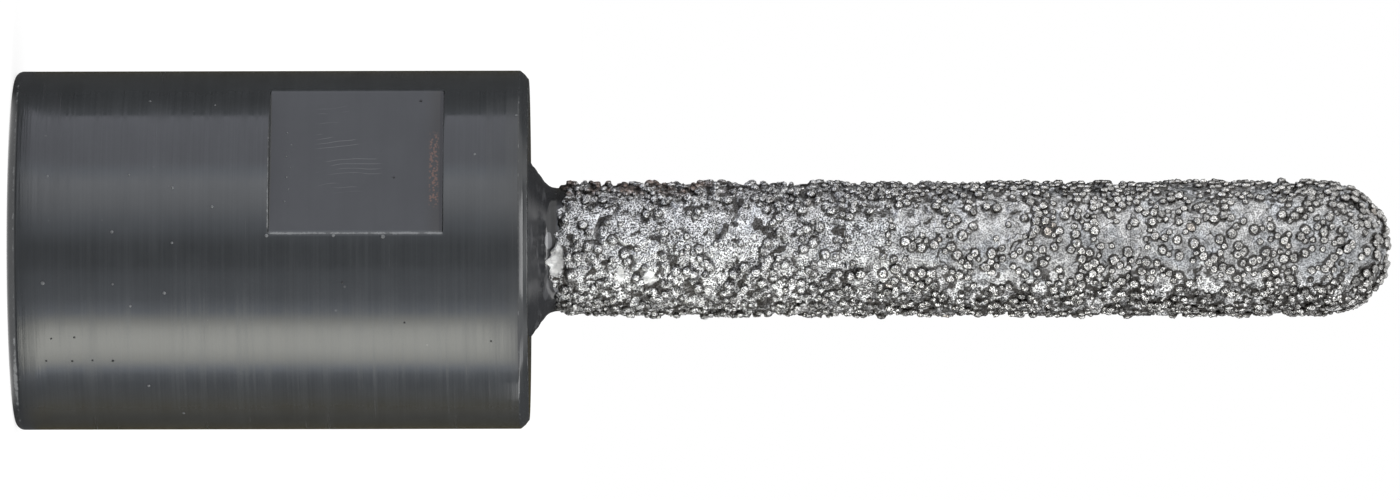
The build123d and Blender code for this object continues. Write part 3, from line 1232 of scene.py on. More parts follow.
@dataclass
class PaintNibs:
    """Specks of dust in the head's paint, and small domes in near-black painted shade that stand for pits,
    each as (height, angle, width).
    """

    head: TurnedHead
    specks: tuple = (
        (9.68, 55.6, 0.23), (14.2, 53.4, 0.18), (2.8, 24.3, 0.20), (8.4, 24.6, 0.20), (11.4, 20.2, 0.26),
        (14.15, 13.9, 0.23), (7.27, 5.9, 0.27), (11.4, 2.4, 0.20), (2.5, -10.3, 0.32), (7.3, -10.7, 0.20),
        (10.85, -13.6, 0.27), (8.5, -17.8, 0.23), (9.6, -48.4, 0.27), (11.9, -64.5, 0.23),
        (17.9, 4.6, 0.30), (22.5, 4.6, 0.27), (25.9, 4.3, 0.36), (32.2, 31.8, 0.23), (35.05, 47.9, 0.27),
        (19.2, 46.0, 0.17), (19.5, 41.0, 0.14), (19.15, 36.0, 0.16), (19.45, 31.0, 0.14),
        (19.2, 27.0, 0.17), (19.35, 22.0, 0.15), (19.1, 17.0, 0.16),
    )
    # Pits, drawn as small domes in near-black painted shade.
    pit_shades: tuple = (
        (23.1, -10.3, 0.18), (27.35, -23.6, 0.18), (33.3, -30.3, 0.18), (28.4, 58.4, 0.23),
        (26.6, 26.8, 0.18), (3.0, -29.0, 0.18), (4.6, -28.6, 0.20), (2.6, -37.5, 0.20),
        (4.4, -37.6, 0.20), (5.8, -37.3, 0.18), (7.2, -37.5, 0.24),
    )
    profile: tuple = ((0.5, -0.12), (0.36, 0.14), (0.16, 0.24))
    crown: float = 0.27
    foot: float = -0.14
    corners: int = 8

    def surface(self, height: float, angle: float) -> tuple[Vector, Vector]:
        """Finds a place on the head.

        Args:
            height: how far along the bit.
            angle: the angle round the bit.

        Returns:
            The place, in metres, and the way that the surface faces.
        """
        turn = math.radians(SHOWN_SIDE - angle)
        flat = self.head.across_flats / 2
        on_flat = self.head.flat_start < height < self.head.flat_end
        radius = min(self.head.radius, flat / abs(math.sin(turn))) if on_flat else self.head.radius
        facing = Vector((math.cos(turn), math.sin(turn), 0.0))
        if radius < self.head.radius:
            facing = Vector((0.0, math.copysign(1.0, math.sin(turn)), 0.0))
        return Vector(place_at(height, angle, radius)), facing

    def dome_points(self, height: float, angle: float, width: float) -> list[Vector]:
        """The corners of one low dome, with its foot just under the paint.

        Args:
            height: its place along the bit.
            angle: its angle round the bit.
            width: its width.

        Returns:
            The corners, in metres: its rings from the foot on, its crown and the foot's middle.
        """
        centre, facing = self.surface(height, angle)
        upright = facing.to_track_quat("Z", "X")
        points = []
        for wide, tall in self.profile:
            for turn in angles_round(self.corners):
                corner = Vector((wide * math.cos(turn), wide * math.sin(turn), tall)) * width * MM
                points.append(centre + upright @ corner)
        return points + [centre + facing * tall * width * MM for tall in (self.crown, self.foot)]

    def dome_faces(self, first: int) -> list[tuple[int, ...]]:
        """The faces of one dome.

        Args:
            first: the number of its first corner.

        Returns:
            Each face's corners.
        """
        around = self.corners
        crown, foot = 3 * around, 3 * around + 1
        faces = []
        for step in range(around):
            ahead = (step + 1) % around
            for row in (0, around):
                faces.append((row + step, row + ahead, row + around + ahead, row + around + step))
            faces += [(2 * around + step, 2 * around + ahead, crown), (ahead, step, foot)]
        return [tuple(first + corner for corner in face) for face in faces]

    def build(self, paint: Material, pit_shade: Material) -> Object:
        """Makes all domes as one piece that rides on the body.

        Args:
            paint: the finish of the specks.
            pit_shade: the near-black painted shade of the domes that stand for pits.

        Returns:
            The piece.
        """
        points = []
        faces = []
        finishes = []
        for finish, marks in enumerate((self.specks, self.pit_shades)):
            for mark in marks:
                faces += self.dome_faces(len(points))
                points += self.dome_points(*mark)
                finishes += [finish] * (4 * self.corners)
        mesh = bpy.data.meshes.new("paint_nibs")
        mesh.from_pydata([tuple(point) for point in points], [], faces)
        mesh.polygons.foreach_set("use_smooth", [True] * len(faces))
        mesh.materials.append(paint)
        mesh.materials.append(pit_shade)
        mesh.polygons.foreach_set("material_index", finishes)
        piece = add_object("paint_nibs", mesh)
        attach(piece, BODY)
        return piece


# Spindle thread


@dataclass
class SpindleThread:
    """The ridge of the M14 x 2 thread, wound as a right-handed helix inside the spindle hole."""

    pitch: float = 2.0
    root_radius: float = 7.04
    crest_radius: float = 5.92
    base_width: float = 1.72
    crest_width: float = 0.45
    start: float = 1.8
    end: float = 21.1
    steps_per_turn: int = 72

    def tree(self, steel: Material) -> PieceTree:
        """The geometry tree that sweeps the ridge's section along a helix.

        Args:
            steel: the finish of the ridge.

        Returns:
            The tree.
        """
        values = {
            "Turns": (self.end - self.start) / self.pitch,
            "Pitch Radius": (self.root_radius + self.crest_radius) / 2 * MM,
            "Rise": (self.end - self.start) * MM,
            "Ridge Depth": (self.root_radius - self.crest_radius) * MM,
            "Base Width": self.base_width * MM,
            "Crest Width": self.crest_width * MM,
            "Start Height": self.start * MM,
            "Steps": self.steps_per_turn,
            "Material": steel,
        }
        maker = PieceTree("thread_ridge", values)
        turns = {
            "Resolution": maker["Steps"],
            "Rotations": maker["Turns"],
            "Start Radius": maker["Pitch Radius"],
            "End Radius": maker["Pitch Radius"],
            "Height": maker["Rise"],
        }
        spiral = maker.add("GeometryNodeCurveSpiral", turns)
        lifted = maker.add("ShaderNodeCombineXYZ", {2: maker["Start Height"]})
        helix = maker.add("GeometryNodeTransform", {"Geometry": spiral, "Translation": lifted})
        level = maker.add("GeometryNodeSetCurveNormal", {0: helix}, mode="Z_UP")
        trapezoid = {
            "Bottom Width": maker["Base Width"],
            "Top Width": maker["Crest Width"],
            "Height": maker["Ridge Depth"],
            "Offset": 0.0,
        }
        section = maker.add("GeometryNodeCurvePrimitiveQuadrilateral", trapezoid, mode="TRAPEZOID")
        quarter_turn = (0.0, 0.0, -math.pi / 2)
        turned = maker.add("GeometryNodeTransform", {"Geometry": section, "Rotation": quarter_turn})
        maker.dress(maker.add("GeometryNodeCurveToMesh", {0: level, 1: turned, "Fill Caps": True}))
        return maker

    def build(self, steel: Material) -> Object:
        """Makes the ridge and lets it ride on the body.

        Args:
            steel: the finish of the ridge.

        Returns:
            The piece.
        """
        piece = add_object("spindle_thread", bpy.data.meshes.new("spindle_thread"))
        self.tree(steel).bake(piece)
        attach(piece, BODY)
        return piece


# Coating


@dataclass
class GritCoating:
    """The skin of braze on the finger, and the diamond grains that stand out of it."""

    head: TurnedHead
    braze_thickness: float = 0.13
    edge_height: float = 2.2
    edge_waves: tuple = ((1, 0.5, 296.0), (3, 0.25, 40.0), (7, 0.18, 200.0))
    torn_waves: tuple = ((17, 0.1, 10.0), (29, 0.09, 130.0), (43, 0.06, 70.0))
    fade_length: float = 4.0
    torn_length: float = 0.8
    points_around: int = 366
    row_pitch: float = 0.079
    ground_around: int = 96
    ground_pitch: float = 0.4
    section_ends: tuple[float, ...] = (0.0, 19.8, 39.6, 61.0)
    first_row: float = 0.25
    lip: tuple = ((0.0, -0.1, 0.0), (0.01, 0.02, 0.0), (0.04, 0.09, 0.2), (0.1, 0.13, 0.5), (0.17, 0.14, 1.0))
    wall_depth: float = 0.12
    wall_rows: int = 6
    patch_height: float = 0.12
    patches_per_metre: float = 600.0
    start_end: Span = (50.0, 70.0)
    grains_thin_out: Span = (50.0, 64.0)
    grain_radius: float = 0.29
    grain_height: float = 0.36
    grain_profile: tuple = ((0.46, 0.96, 0.95), (0.78, 0.82, 0.8), (0.98, 0.45, 0.3), (1.04, -0.1, 0.0))
    grain_corners: int = 8
    groove_way: tuple[float, float, float] = (-0.0001, -0.00006, 0.0004)
    plateau_end: Span = (52.0, 64.0)
    crevice_end: Span = (50.0, 66.0)
    gaps_per_metre: float = 1250.0
    fine_per_metre: float = 2600.0
    finest_per_metre: float = 6500.0
    crowds_per_metre: float = 420.0
    crowds_shift: tuple[float, float, float] = (0.31, 0.17, 0.05)
    plateaus_per_metre: float = 900.0
    sizes_per_metre: float = 1900.0
    dents_per_metre: float = 4200.0
    grain_spacing: float = 0.455
    picks_per_square_metre: float = 2.2e7
    bands_per_metre: float = 800.0
    side_reach: Span = (2.0, 3.4)
    upper_gap_reach: Span = (1.4, 2.8)
    lower_gap_reach: Span = (0.3, 1.8)
    nose_start: Span = (82.0, 90.0)
    tip_start: Span = (92.5, 95.2)
    share_between_bands: float = 0.21
    share_where_dense: float = 0.5
    share_at_start: float = 0.42
    share_at_dense_start: float = 0.75
    smallest: float = 0.68
    largest: float = 1.17
    rise: float = 0.14
    families: int = 4
    cluster_reach: float = 1.65
    dent: float = 0.26
    seed: int = 11
    family_seed: int = 5

    @property
    def straight(self) -> float:
        """Length of the coating's outline up to the nose."""
        return self.head.nose_centre - self.head.length - self.edge_height

    @property
    def nose_radius(self) -> float:
        """Radius of the braze's outside on the nose."""
        return self.head.core_radius + self.braze_thickness

    @property
    def outline(self) -> float:
        """Length of the coating's outline from its mean start to the tip."""
        return self.straight + self.nose_radius * math.pi / 2

    def edge_wave(self, turn: np.ndarray, waves: tuple) -> np.ndarray:
        """Rise of the coating's ragged start at each angle, in millimetres."""
        return sum(height * np.sin(count * turn + math.radians(phase)) for count, height, phase in waves)

    def ring(self, path: float, proud: float, turn: np.ndarray) -> np.ndarray:
        """One ring of the coating's surface.

        Args:
            path: distance from the coating's mean start, along its outline.
            proud: distance from the steel.
            turn: the angles of its points, in radians.

        Returns:
            The points, in millimetres.
        """
        head = self.head
        if path > self.straight:
            tilt = (path - self.straight) / self.nose_radius
            radius = head.core_radius + proud
            return circle(turn, radius * math.cos(tilt), head.nose_centre + radius * math.sin(tilt))
        rise = max(0.0, 1 - path / self.fade_length) * self.edge_wave(turn, self.edge_waves)
        rise += max(0.0, 1 - path / self.torn_length) * self.edge_wave(turn, self.torn_waves)
        height = head.length + self.edge_height + path + rise
        return circle(turn, np.array([head.steel_radius(level) for level in height]) + proud, height)

    def section_mesh(self, start: float, end: float) -> Mesh:
        """A closed length of the skin: the braze's outside, and a wall inside the steel.

        Args:
            start: where it begins, along the coating's outline.
            end: where it ends; the last length runs to the tip.

        Returns:
            The mesh, whose attribute outside is 1 on the braze's outside.
        """
        turn = angles_round(self.points_around)
        at_tip = end > self.outline - 0.3
        last = self.outline - 0.5 * self.row_pitch if at_tip else end
        first = start if start > 0 else self.first_row
        count = round((last - first) / self.row_pitch)
        paths = [first + (last - first) * step / count for step in range(count + 1)]
        outer = [(path, self.braze_thickness, 1.0) for path in paths]
        if start == 0:
            outer = [*self.lip, *outer]
        rows = range(self.wall_rows + 1)
        inner = [(start + (last - start) * step / self.wall_rows, -self.wall_depth, 0.0) for step in rows]
        walk = [*reversed(outer), *inner]
        rings = np.array([self.ring(path, proud, turn) for path, proud, _ in walk])
        outside = np.array([np.full_like(turn, share) for _, _, share in walk])
        tips = (self.nose_radius, self.head.core_radius - self.wall_depth)
        poles = tuple((0.0, 0.0, self.head.nose_centre + tip) for tip in tips) if at_tip else None
        mesh = lathe_mesh("braze_skin", rings, poles)
        write_attribute(mesh, "outside", outside, 1.0)
        return mesh

    def ground_mesh(self) -> Mesh:
        """A coarse copy of the coating's outside, on which the grains' places are picked.

        Returns:
            The mesh, open at its ends.
        """
        turn = angles_round(self.ground_around)
        count = round(self.outline / self.ground_pitch)
        paths = [0.45 + (self.outline - 0.5) * step / count for step in range(count, -1, -1)]
        rings = [self.ring(min(path, self.outline - 0.05), self.braze_thickness, turn) for path in paths]
        return lathe_mesh("ground", np.array(rings), None, closed=False)

    def underside(self, place: Wire) -> Wire:
        """1 along the lower side of the finger as the photograph shows it, else 0."""
        return reach_to(place, LOWER_SIDE).over(self.side_reach)

    def chain_group(self) -> NodeTree:
        """Field group: 1 in the winding bands and patches where grains crowd together, else 0.

        Returns:
            The group.
        """
        sockets = {"Place": "Vector", "Bands per Metre": "Float"}
        maker = GroupMaker("grain_bands", "Geometry", sockets, {"Share": "Float"})
        winding = maker.noise(maker["Place"], maker["Bands per Metre"], detail=1.0, rough=0.4)
        bands = abs(winding - 0.5).between(0.022, 0.038, 1.0, 0.0)
        other_place = maker["Place"].vector("ADD", self.crowds_shift)
        patches = maker.noise(other_place, self.crowds_per_metre).between(0.58, 0.62)
        maker.give("Share", bands.at_least(patches))
        return maker.tree

    def groove(self, maker: NodeMaker, place: Wire, patches: Wire, rugged: Wire) -> Wire:
        """The grooves beside raised patches, gaps on the finger's sides, and the hollows, which sink into the
        braze and are darkened with painted shade.

        Args:
            maker: the relief's node maker.
            place: the place to judge.
            patches: the noise that raises the patches.
            rugged: how rugged the braze is there.

        Returns:
            1 in the deepest of them, and 0 away from them and in the bare places.
        """
        ahead = place.vector("ADD", self.groove_way)
        begins = maker.noise(ahead, self.patches_per_metre, detail=1.0).between(0.485, 0.525)
        beside = begins * patches.between(0.455, 0.5, 0.85, 0.0) * rugged.between(0.5, 0.9)
        upper = reach_to(place, UPPER_SIDE).over(self.upper_gap_reach)
        lower = reach_to(place, LOWER_SIDE).over(self.lower_gap_reach)
        gaps = maker.noise(place, self.gaps_per_metre, rough=0.6).between(0.405, 0.455, 0.85, 0.0)
        groove = beside.at_least(gaps * upper.at_least(lower))
        groove = groove.at_least(near_any(place, SHADED_HOLLOWS, 0.35) * 0.9)
        return groove * (1.0 - near_any(place, BARE_PLACES))

    def relief_group(self, chains: NodeTree) -> NodeTree:
        """Field group: how far the braze's pools and raised patches stand out at a place.

        Args:
            chains: the group of crowded bands.

        Returns:
            The group.
        """
        sockets = {"Place": "Vector", "Patch Height": "Float", "Bands per Metre": "Float"}
        maker = GroupMaker("braze_relief", "Geometry", sockets, {"Height": "Float", "Groove": "Float"})
        place = maker["Place"]
        left = place.parts()[2].over(self.start_end, 1.0, 0.0)
        rugged = left.at_least(self.underside(place)).between(0.0, 1.0, 0.45, 1.0)
        bands = maker.group(chains, maker.some("Place", "Bands per Metre"))["Share"]
        patches = maker.noise(place, self.patches_per_metre, detail=1.0)
        groove = self.groove(maker, place, patches, rugged)
        fine = maker.noise(place, self.fine_per_metre, detail=1.0) - 0.5
        finest = maker.noise(place, self.finest_per_metre, detail=0.0) - 0.5
        total = patches.between(0.485, 0.515, -0.5, 0.8) * rugged + bands * 0.25 + fine * 0.7
        total = total + finest * (rugged * 0.4) - groove * 0.5
        maker.give("Height", total * maker["Patch Height"])
        maker.give("Groove", groove)
        return maker.tree

    def relief(self, maker: PieceTree, group: NodeTree) -> dict[str, Wire]:
        """Places the relief group in one of the coating's trees, fed from that tree's inputs."""
        return maker.group(group, {"Place": maker.place(), **maker.some("Patch Height", "Bands per Metre")})

    def size_at(self, maker: GroupMaker, place: Value) -> Wire:
        """How large a grain is, which follows from its place."""
        size = maker.noise(place, self.sizes_per_metre, detail=0.0)
        return size.between(0.38, 0.66, maker["Smallest"], maker["Largest"])

    def share_kept(self, place: Wire, bands: Wire) -> Wire:
        """The share of picked places that keep their grain.

        Args:
            place: the place to judge.
            bands: 1 where grains crowd together.

        Returns:
            The share, from 0 to 1.
        """
        up = place.parts()[2]
        upper = reach_to(place, UPPER_SIDE).over(self.side_reach)
        dense = self.underside(place).at_least(up.over(self.nose_start)).at_least(upper)
        between_bands = dense.between(0.0, 1.0, self.share_between_bands, self.share_where_dense)
        at_start = dense.between(0.0, 1.0, self.share_at_start, self.share_at_dense_start)
        share = bands.between(0.0, 1.0, between_bands, 1.0) * up.over(self.grains_thin_out, at_start, 1.0)
        return share * (1.0 - near_any(place, BARE_PLACES + SHADED_HOLLOWS))

    def sites_tree(self, chains: NodeTree) -> PieceTree:
        """Tree that picks the grains' places on the ground, in clusters and chains.

        Args:
            chains: the group of crowded bands.

        Returns:
            The tree.
        """
        values = {
            "Spacing": self.grain_spacing * MM,
            "Bands per Metre": self.bands_per_metre,
            "Smallest": self.smallest,
            "Largest": self.largest,
            "Seed": self.seed,
        }
        maker = PieceTree("grain_sites", values)
        place = maker.place()
        bands = maker.group(chains, {"Place": place, **maker.some("Bands per Metre")})["Share"]
        picked = {
            "Mesh": maker["Geometry"],
            "Distance Min": maker["Spacing"],
            "Density Max": self.picks_per_square_metre,
            "Density Factor": self.share_kept(place, bands),
            "Seed": maker["Seed"],
        }
        strewn = maker.add("GeometryNodeDistributePointsOnFaces", picked, distribute_method="POISSON")
        points = maker.store(strewn.outputs["Points"], "facing", strewn.outputs["Normal"], "FLOAT_VECTOR")
        points = maker.store(points, "size", self.size_at(maker, place))
        dice = {4: 0, 5: self.families - 1, "Seed": self.family_seed}
        family = maker.wire("FunctionNodeRandomValue", dice, 2, data_type="INT")
        points = maker.store(points, "family", family, "INT")
        maker.give("Geometry", maker.add("GeometryNodePointsToVertices", {0: points}))
        return maker

    def cluster_group(self) -> NodeTree:
        """Field group: how near a place is to the grains, so that close ones share one raised base, and on
        which side of its grain it lies, for the painted shade.

        The grains are in families at random. The nearest grain of each family adds its share to
        the field, which stays above a limit also between two grains that nearly touch.

        Returns:
            The group.
        """
        sockets = {"Sites": "Geometry", "Grain Radius": "Float", "Smallest": "Float", "Largest": "Float"}
        outputs = {"Field": "Float", "Radii": "Float", "Side": "Float"}
        maker = GroupMaker("grain_clusters", "Geometry", sockets, outputs)
        family = maker.attribute("family", "INT")
        place = maker.place()
        plateau = maker.noise(place, self.plateaus_per_metre, detail=1.0, rough=0.4)
        plateau = plateau.between(0.54, 0.615, 0.0, 0.62)
        total = plateau * place.parts()[2].over(self.plateau_end, 0.3, 1.0)
        nearest = None
        for number in range(self.families):
            inputs = {0: maker["Sites"], "Group ID": family, "Sample Group ID": number}
            near = maker.add("GeometryNodeProximity", inputs, target_element="POINTS")
            reach = self.size_at(maker, near.outputs["Position"]) * maker["Grain Radius"]
            radii = Wire(maker, near.outputs["Distance"]) / reach
            nearest = nearest.at_most(radii) if nearest else radii
            inward = radii / self.cluster_reach
            inward = (1.0 - inward * inward).at_least(0.0)
            total = inward * inward + total
        sites = {0: maker["Sites"]}
        closest = maker.wire("GeometryNodeProximity", sites, "Position", target_element="POINTS")
        away = place.vector("SUBTRACT", closest).vector("NORMALIZE")
        # Shaded Side: how far a place lies from its grain towards the upper side and the head, where the
        # painted shade is darkest.
        shaded = Vector(place_at(0.0, UPPER_SIDE, 600.0)) + Vector((0.0, 0.0, -0.8))
        maker.give("Field", total)
        maker.give("Radii", nearest)
        maker.give("Side", away.dot(tuple(shaded)))
        return maker.tree

    def unshaded_share(self, maker: NodeMaker, near: dict[str, Wire], groove: Wire) -> Wire:
        """How far the skin is from its painted shade, which its finish reads.

        Args:
            maker: the skin's node maker.
            near: what the cluster group puts out.
            groove: 1 in a groove of the braze.

        Returns:
            1 on open braze, and 0 where painted shade darkens the crevices round the grains, the clusters'
            outlines and the grooves.
        """
        # Painted shade: an outline round each cluster, darkest on its upper, head-ward side, and the crevice
        # close to each grain.
        outline = near["Field"].between(0.03, 0.14) * near["Field"].between(0.52, 0.38)
        outline = outline * near["Side"].between(-0.7, 0.4, 0.4, 1.0)
        darkest = maker.place().parts()[2].over(self.crevice_end, 0.72, 0.92)
        crevice_shade = near["Radii"].between(1.44, 1.1, 0.0, darkest)
        return (1.0 - outline.at_least(crevice_shade)).at_most(1.0 - groove)

    def skin_tree(self, relief: NodeTree, sites: Object, metal: Material) -> PieceTree:
        """Tree for the skin: its relief, a rise of braze against each grain, and a mark of where painted
        shade falls on it.

        Args:
            relief: the relief group.
            sites: the helper object whose points are the grains' places.
            metal: the finish of the braze.

        Returns:
            The tree.
        """
        values = {
            "Sites": sites,
            "Patch Height": self.patch_height * MM,
            "Bands per Metre": self.bands_per_metre,
            "Rise": self.rise * MM,
            "Grain Radius": self.grain_radius * MM,
            "Smallest": self.smallest,
            "Largest": self.largest,
            "Material": metal,
        }
        maker = PieceTree("braze_skin", values)
        points = maker.wire("GeometryNodeObjectInfo", {"Object": maker["Sites"]}, "Geometry")
        reach = maker.some("Grain Radius", "Smallest", "Largest")
        near = maker.group(self.cluster_group(), {"Sites": points, **reach})
        patches = self.relief(maker, relief)
        height = near["Field"].between(0.28, 0.56) * maker["Rise"] + patches["Height"]
        normal = maker.wire("GeometryNodeInputNormal")
        offset = normal.scaled(height * maker.attribute("outside"))
        # clear is 1 on open braze and 0 where painted shade falls.
        clear = self.unshaded_share(maker, near, patches["Groove"])
        maker.dress(maker.moved(maker.store(maker["Geometry"], "clear", clear), offset))
        return maker

    def random(self, maker: NodeMaker, low: float, high: float, seed: int) -> Wire:
        """A random number for each grain, between two values."""
        inputs = {2: low, 3: high, "Seed": seed}
        return maker.wire("FunctionNodeRandomValue", inputs, 1, data_type="FLOAT")

    def grain_turn(self, maker: NodeMaker, facing: Wire) -> Value:
        """Each grain's rotation: upright on the skin, spun at random and tilted a little.

        Args:
            maker: the grains' tree.
            facing: the way that the skin faces.

        Returns:
            The node that turns them.
        """
        turn = maker.add("FunctionNodeAlignRotationToVector", {"Vector": facing}, axis="Z")
        spin = maker.add("ShaderNodeCombineXYZ", {2: self.random(maker, 0.0, 2 * math.pi, 3)})
        tilt = maker.add("ShaderNodeCombineXYZ", {0: self.random(maker, -0.2, 0.2, 4)})
        for step in (spin, tilt):
            turn = maker.add("FunctionNodeRotateRotation", {0: turn, 1: step}, rotation_space="LOCAL")
        return turn

    def grain_size(self, maker: NodeMaker) -> Value:
        """Each grain's scale in its three directions, taller at the very tip.

        Args:
            maker: the grains' tree.

        Returns:
            The node that sizes them.
        """
        whole = maker.attribute("size")
        wide = whole * self.random(maker, 0.86, 1.2, 6)
        tall = whole.between(self.smallest, self.largest, 0.78, 1.04) * self.random(maker, 0.75, 1.0, 7)
        tall = tall * maker.place().parts()[2].over(self.tip_start, 1.0, 1.3)
        return maker.add("ShaderNodeCombineXYZ", {0: whole, 1: wide, 2: tall})

    def grain_tree(self, relief: NodeTree, sites: Object, lump: Object, metal: Material) -> PieceTree:
        """Tree for the grains: one lump at each place, each turned, sized, tinted and dented its own way.

        Args:
            relief: the relief group.
            sites: the helper object whose points are the grains' places.
            lump: the helper object that is one grain.
            metal: the finish of the grains.

        Returns:
            The tree.
        """
        values = {
            "Sites": sites,
            "Lump": lump,
            "Patch Height": self.patch_height * MM,
            "Bands per Metre": self.bands_per_metre,
            "Dent": self.dent * MM,
            "Material": metal,
        }
        maker = PieceTree("diamond_grains", values)
        shape, places = (
            maker.wire("GeometryNodeObjectInfo", {"Object": maker[name]}, "Geometry")
            for name in ("Lump", "Sites")
        )
        facing = maker.attribute("facing", "FLOAT_VECTOR")
        points = maker.add("GeometryNodeMeshToPoints", {"Mesh": places})
        lifted = facing.scaled(self.relief(maker, relief)["Height"])
        inputs = {"Points": maker.moved(points, lifted), "Instance": shape}
        inputs |= {"Rotation": self.grain_turn(maker, facing), "Scale": self.grain_size(maker)}
        placed = maker.add("GeometryNodeInstanceOnPoints", inputs)
        tinted = maker.store(placed, "tint", self.random(maker, 0.0, 1.0, 9), domain="INSTANCE")
        real = maker.add("GeometryNodeRealizeInstances", {"Geometry": tinted})
        noise = {"Vector": maker.place(), "Scale": self.dents_per_metre, "Detail": 1.0}
        dents = maker.wire("ShaderNodeTexNoise", noise, "Color").vector("SUBTRACT", (0.5, 0.5, 0.5))
        dented = maker.moved(real, dents.scaled(maker["Dent"]))
        maker.dress(maker.add("GeometryNodeSetShadeSmooth", {"Geometry": dented}))
        return maker

    def lump_mesh(self) -> Mesh:
        """One grain under its braze: a low dome of a few dozen faces, closed below.

        Returns:
            The mesh, whose attribute lift is 1 on its crown.
        """
        turn = angles_round(self.grain_corners)
        rings = []
        for wide, high, _ in self.grain_profile:
            uneven = 1 + 0.07 * np.sin(3 * turn + 4 * wide)
            rings.append(circle(turn, self.grain_radius * wide * uneven, self.grain_height * high))
        poles = ((0.0, 0.0, self.grain_height), (0.0, 0.0, -0.25 * self.grain_height))
        mesh = lathe_mesh("grain_lump", np.array(rings), poles)
        lift = np.array([np.full_like(turn, level) for _, _, level in self.grain_profile])
        write_attribute(mesh, "lift", lift, 1.0)
        return mesh

    def build(self, skin_metal: Material, grain_metal: Material) -> list[Object]:
        """Makes the skin's lengths and the grains, and hides the coating's solid whose place they take.

        Args:
            skin_metal: the finish of the braze.
            grain_metal: the finish of the grains.

        Returns:
            The pieces.
        """
        chains = self.chain_group()
        relief = self.relief_group(chains)
        sites = add_object("grain_sites", self.ground_mesh())
        self.sites_tree(chains).bake(sites)
        log.info("%d grains", len(sites.data.vertices))
        pieces = []
        tree = self.skin_tree(relief, sites, skin_metal)
        for number, (start, end) in enumerate(zip(self.section_ends, self.section_ends[1:]), 1):
            skin = add_object(f"braze_skin_{number}", self.section_mesh(start, end))
            tree.bake(skin)
            pieces.append(skin)
        grains = add_object("diamond_grains", bpy.data.meshes.new("diamond_grains"))
        lump = add_object("grain_lump", self.lump_mesh())
        self.grain_tree(relief, sites, lump, grain_metal).bake(grains)
        pieces.append(grains)
        for helper in (lump, sites):
            bpy.data.objects.remove(helper)
        for piece in pieces:
            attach(piece, BODY)
            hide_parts("diamond_coating")
        return pieces


# Studio


WHITE = (1.0, 1.0, 1.0)
COOL = (0.93, 1.0, 1.12)
WARM = (1.0, 1.0, 0.92)
OLIVE = (1.25, 1.05, 0.5)
PLAIN = (0.97, 1.0, 1.06)
VIOLET = (0.98, 1.0, 1.13)


@dataclass(frozen=True)
class SoftLamp:
    """A square soft lamp: its angle from the camera towards the picture's upper edge, its elevation,
    its side, its distance and its strength."""

    name: str
    angle: float
    elevation: float
    side: float
    distance: float
    watts: float


def round_mesh(name: str, around: int, *rims: Span) -> Mesh:
    """A flat disc within one round rim, or a band between two.

    Args:
        name: the mesh's name.
        around: the number of corners on a rim.
        rims: the radius and height of each rim.

    Returns:
        The mesh, in metres.
    """
    points = np.concatenate([circle(angles_round(around), radius, height) for radius, height in rims])
    faces = [tuple(range(around))]
    if len(rims) > 1:
        faces = [(i, (i + 1) % around, around + (i + 1) % around, around + i) for i in range(around)]
    mesh = bpy.data.meshes.new(name)
    mesh.from_pydata((points * MM).tolist(), [], faces)
    return mesh


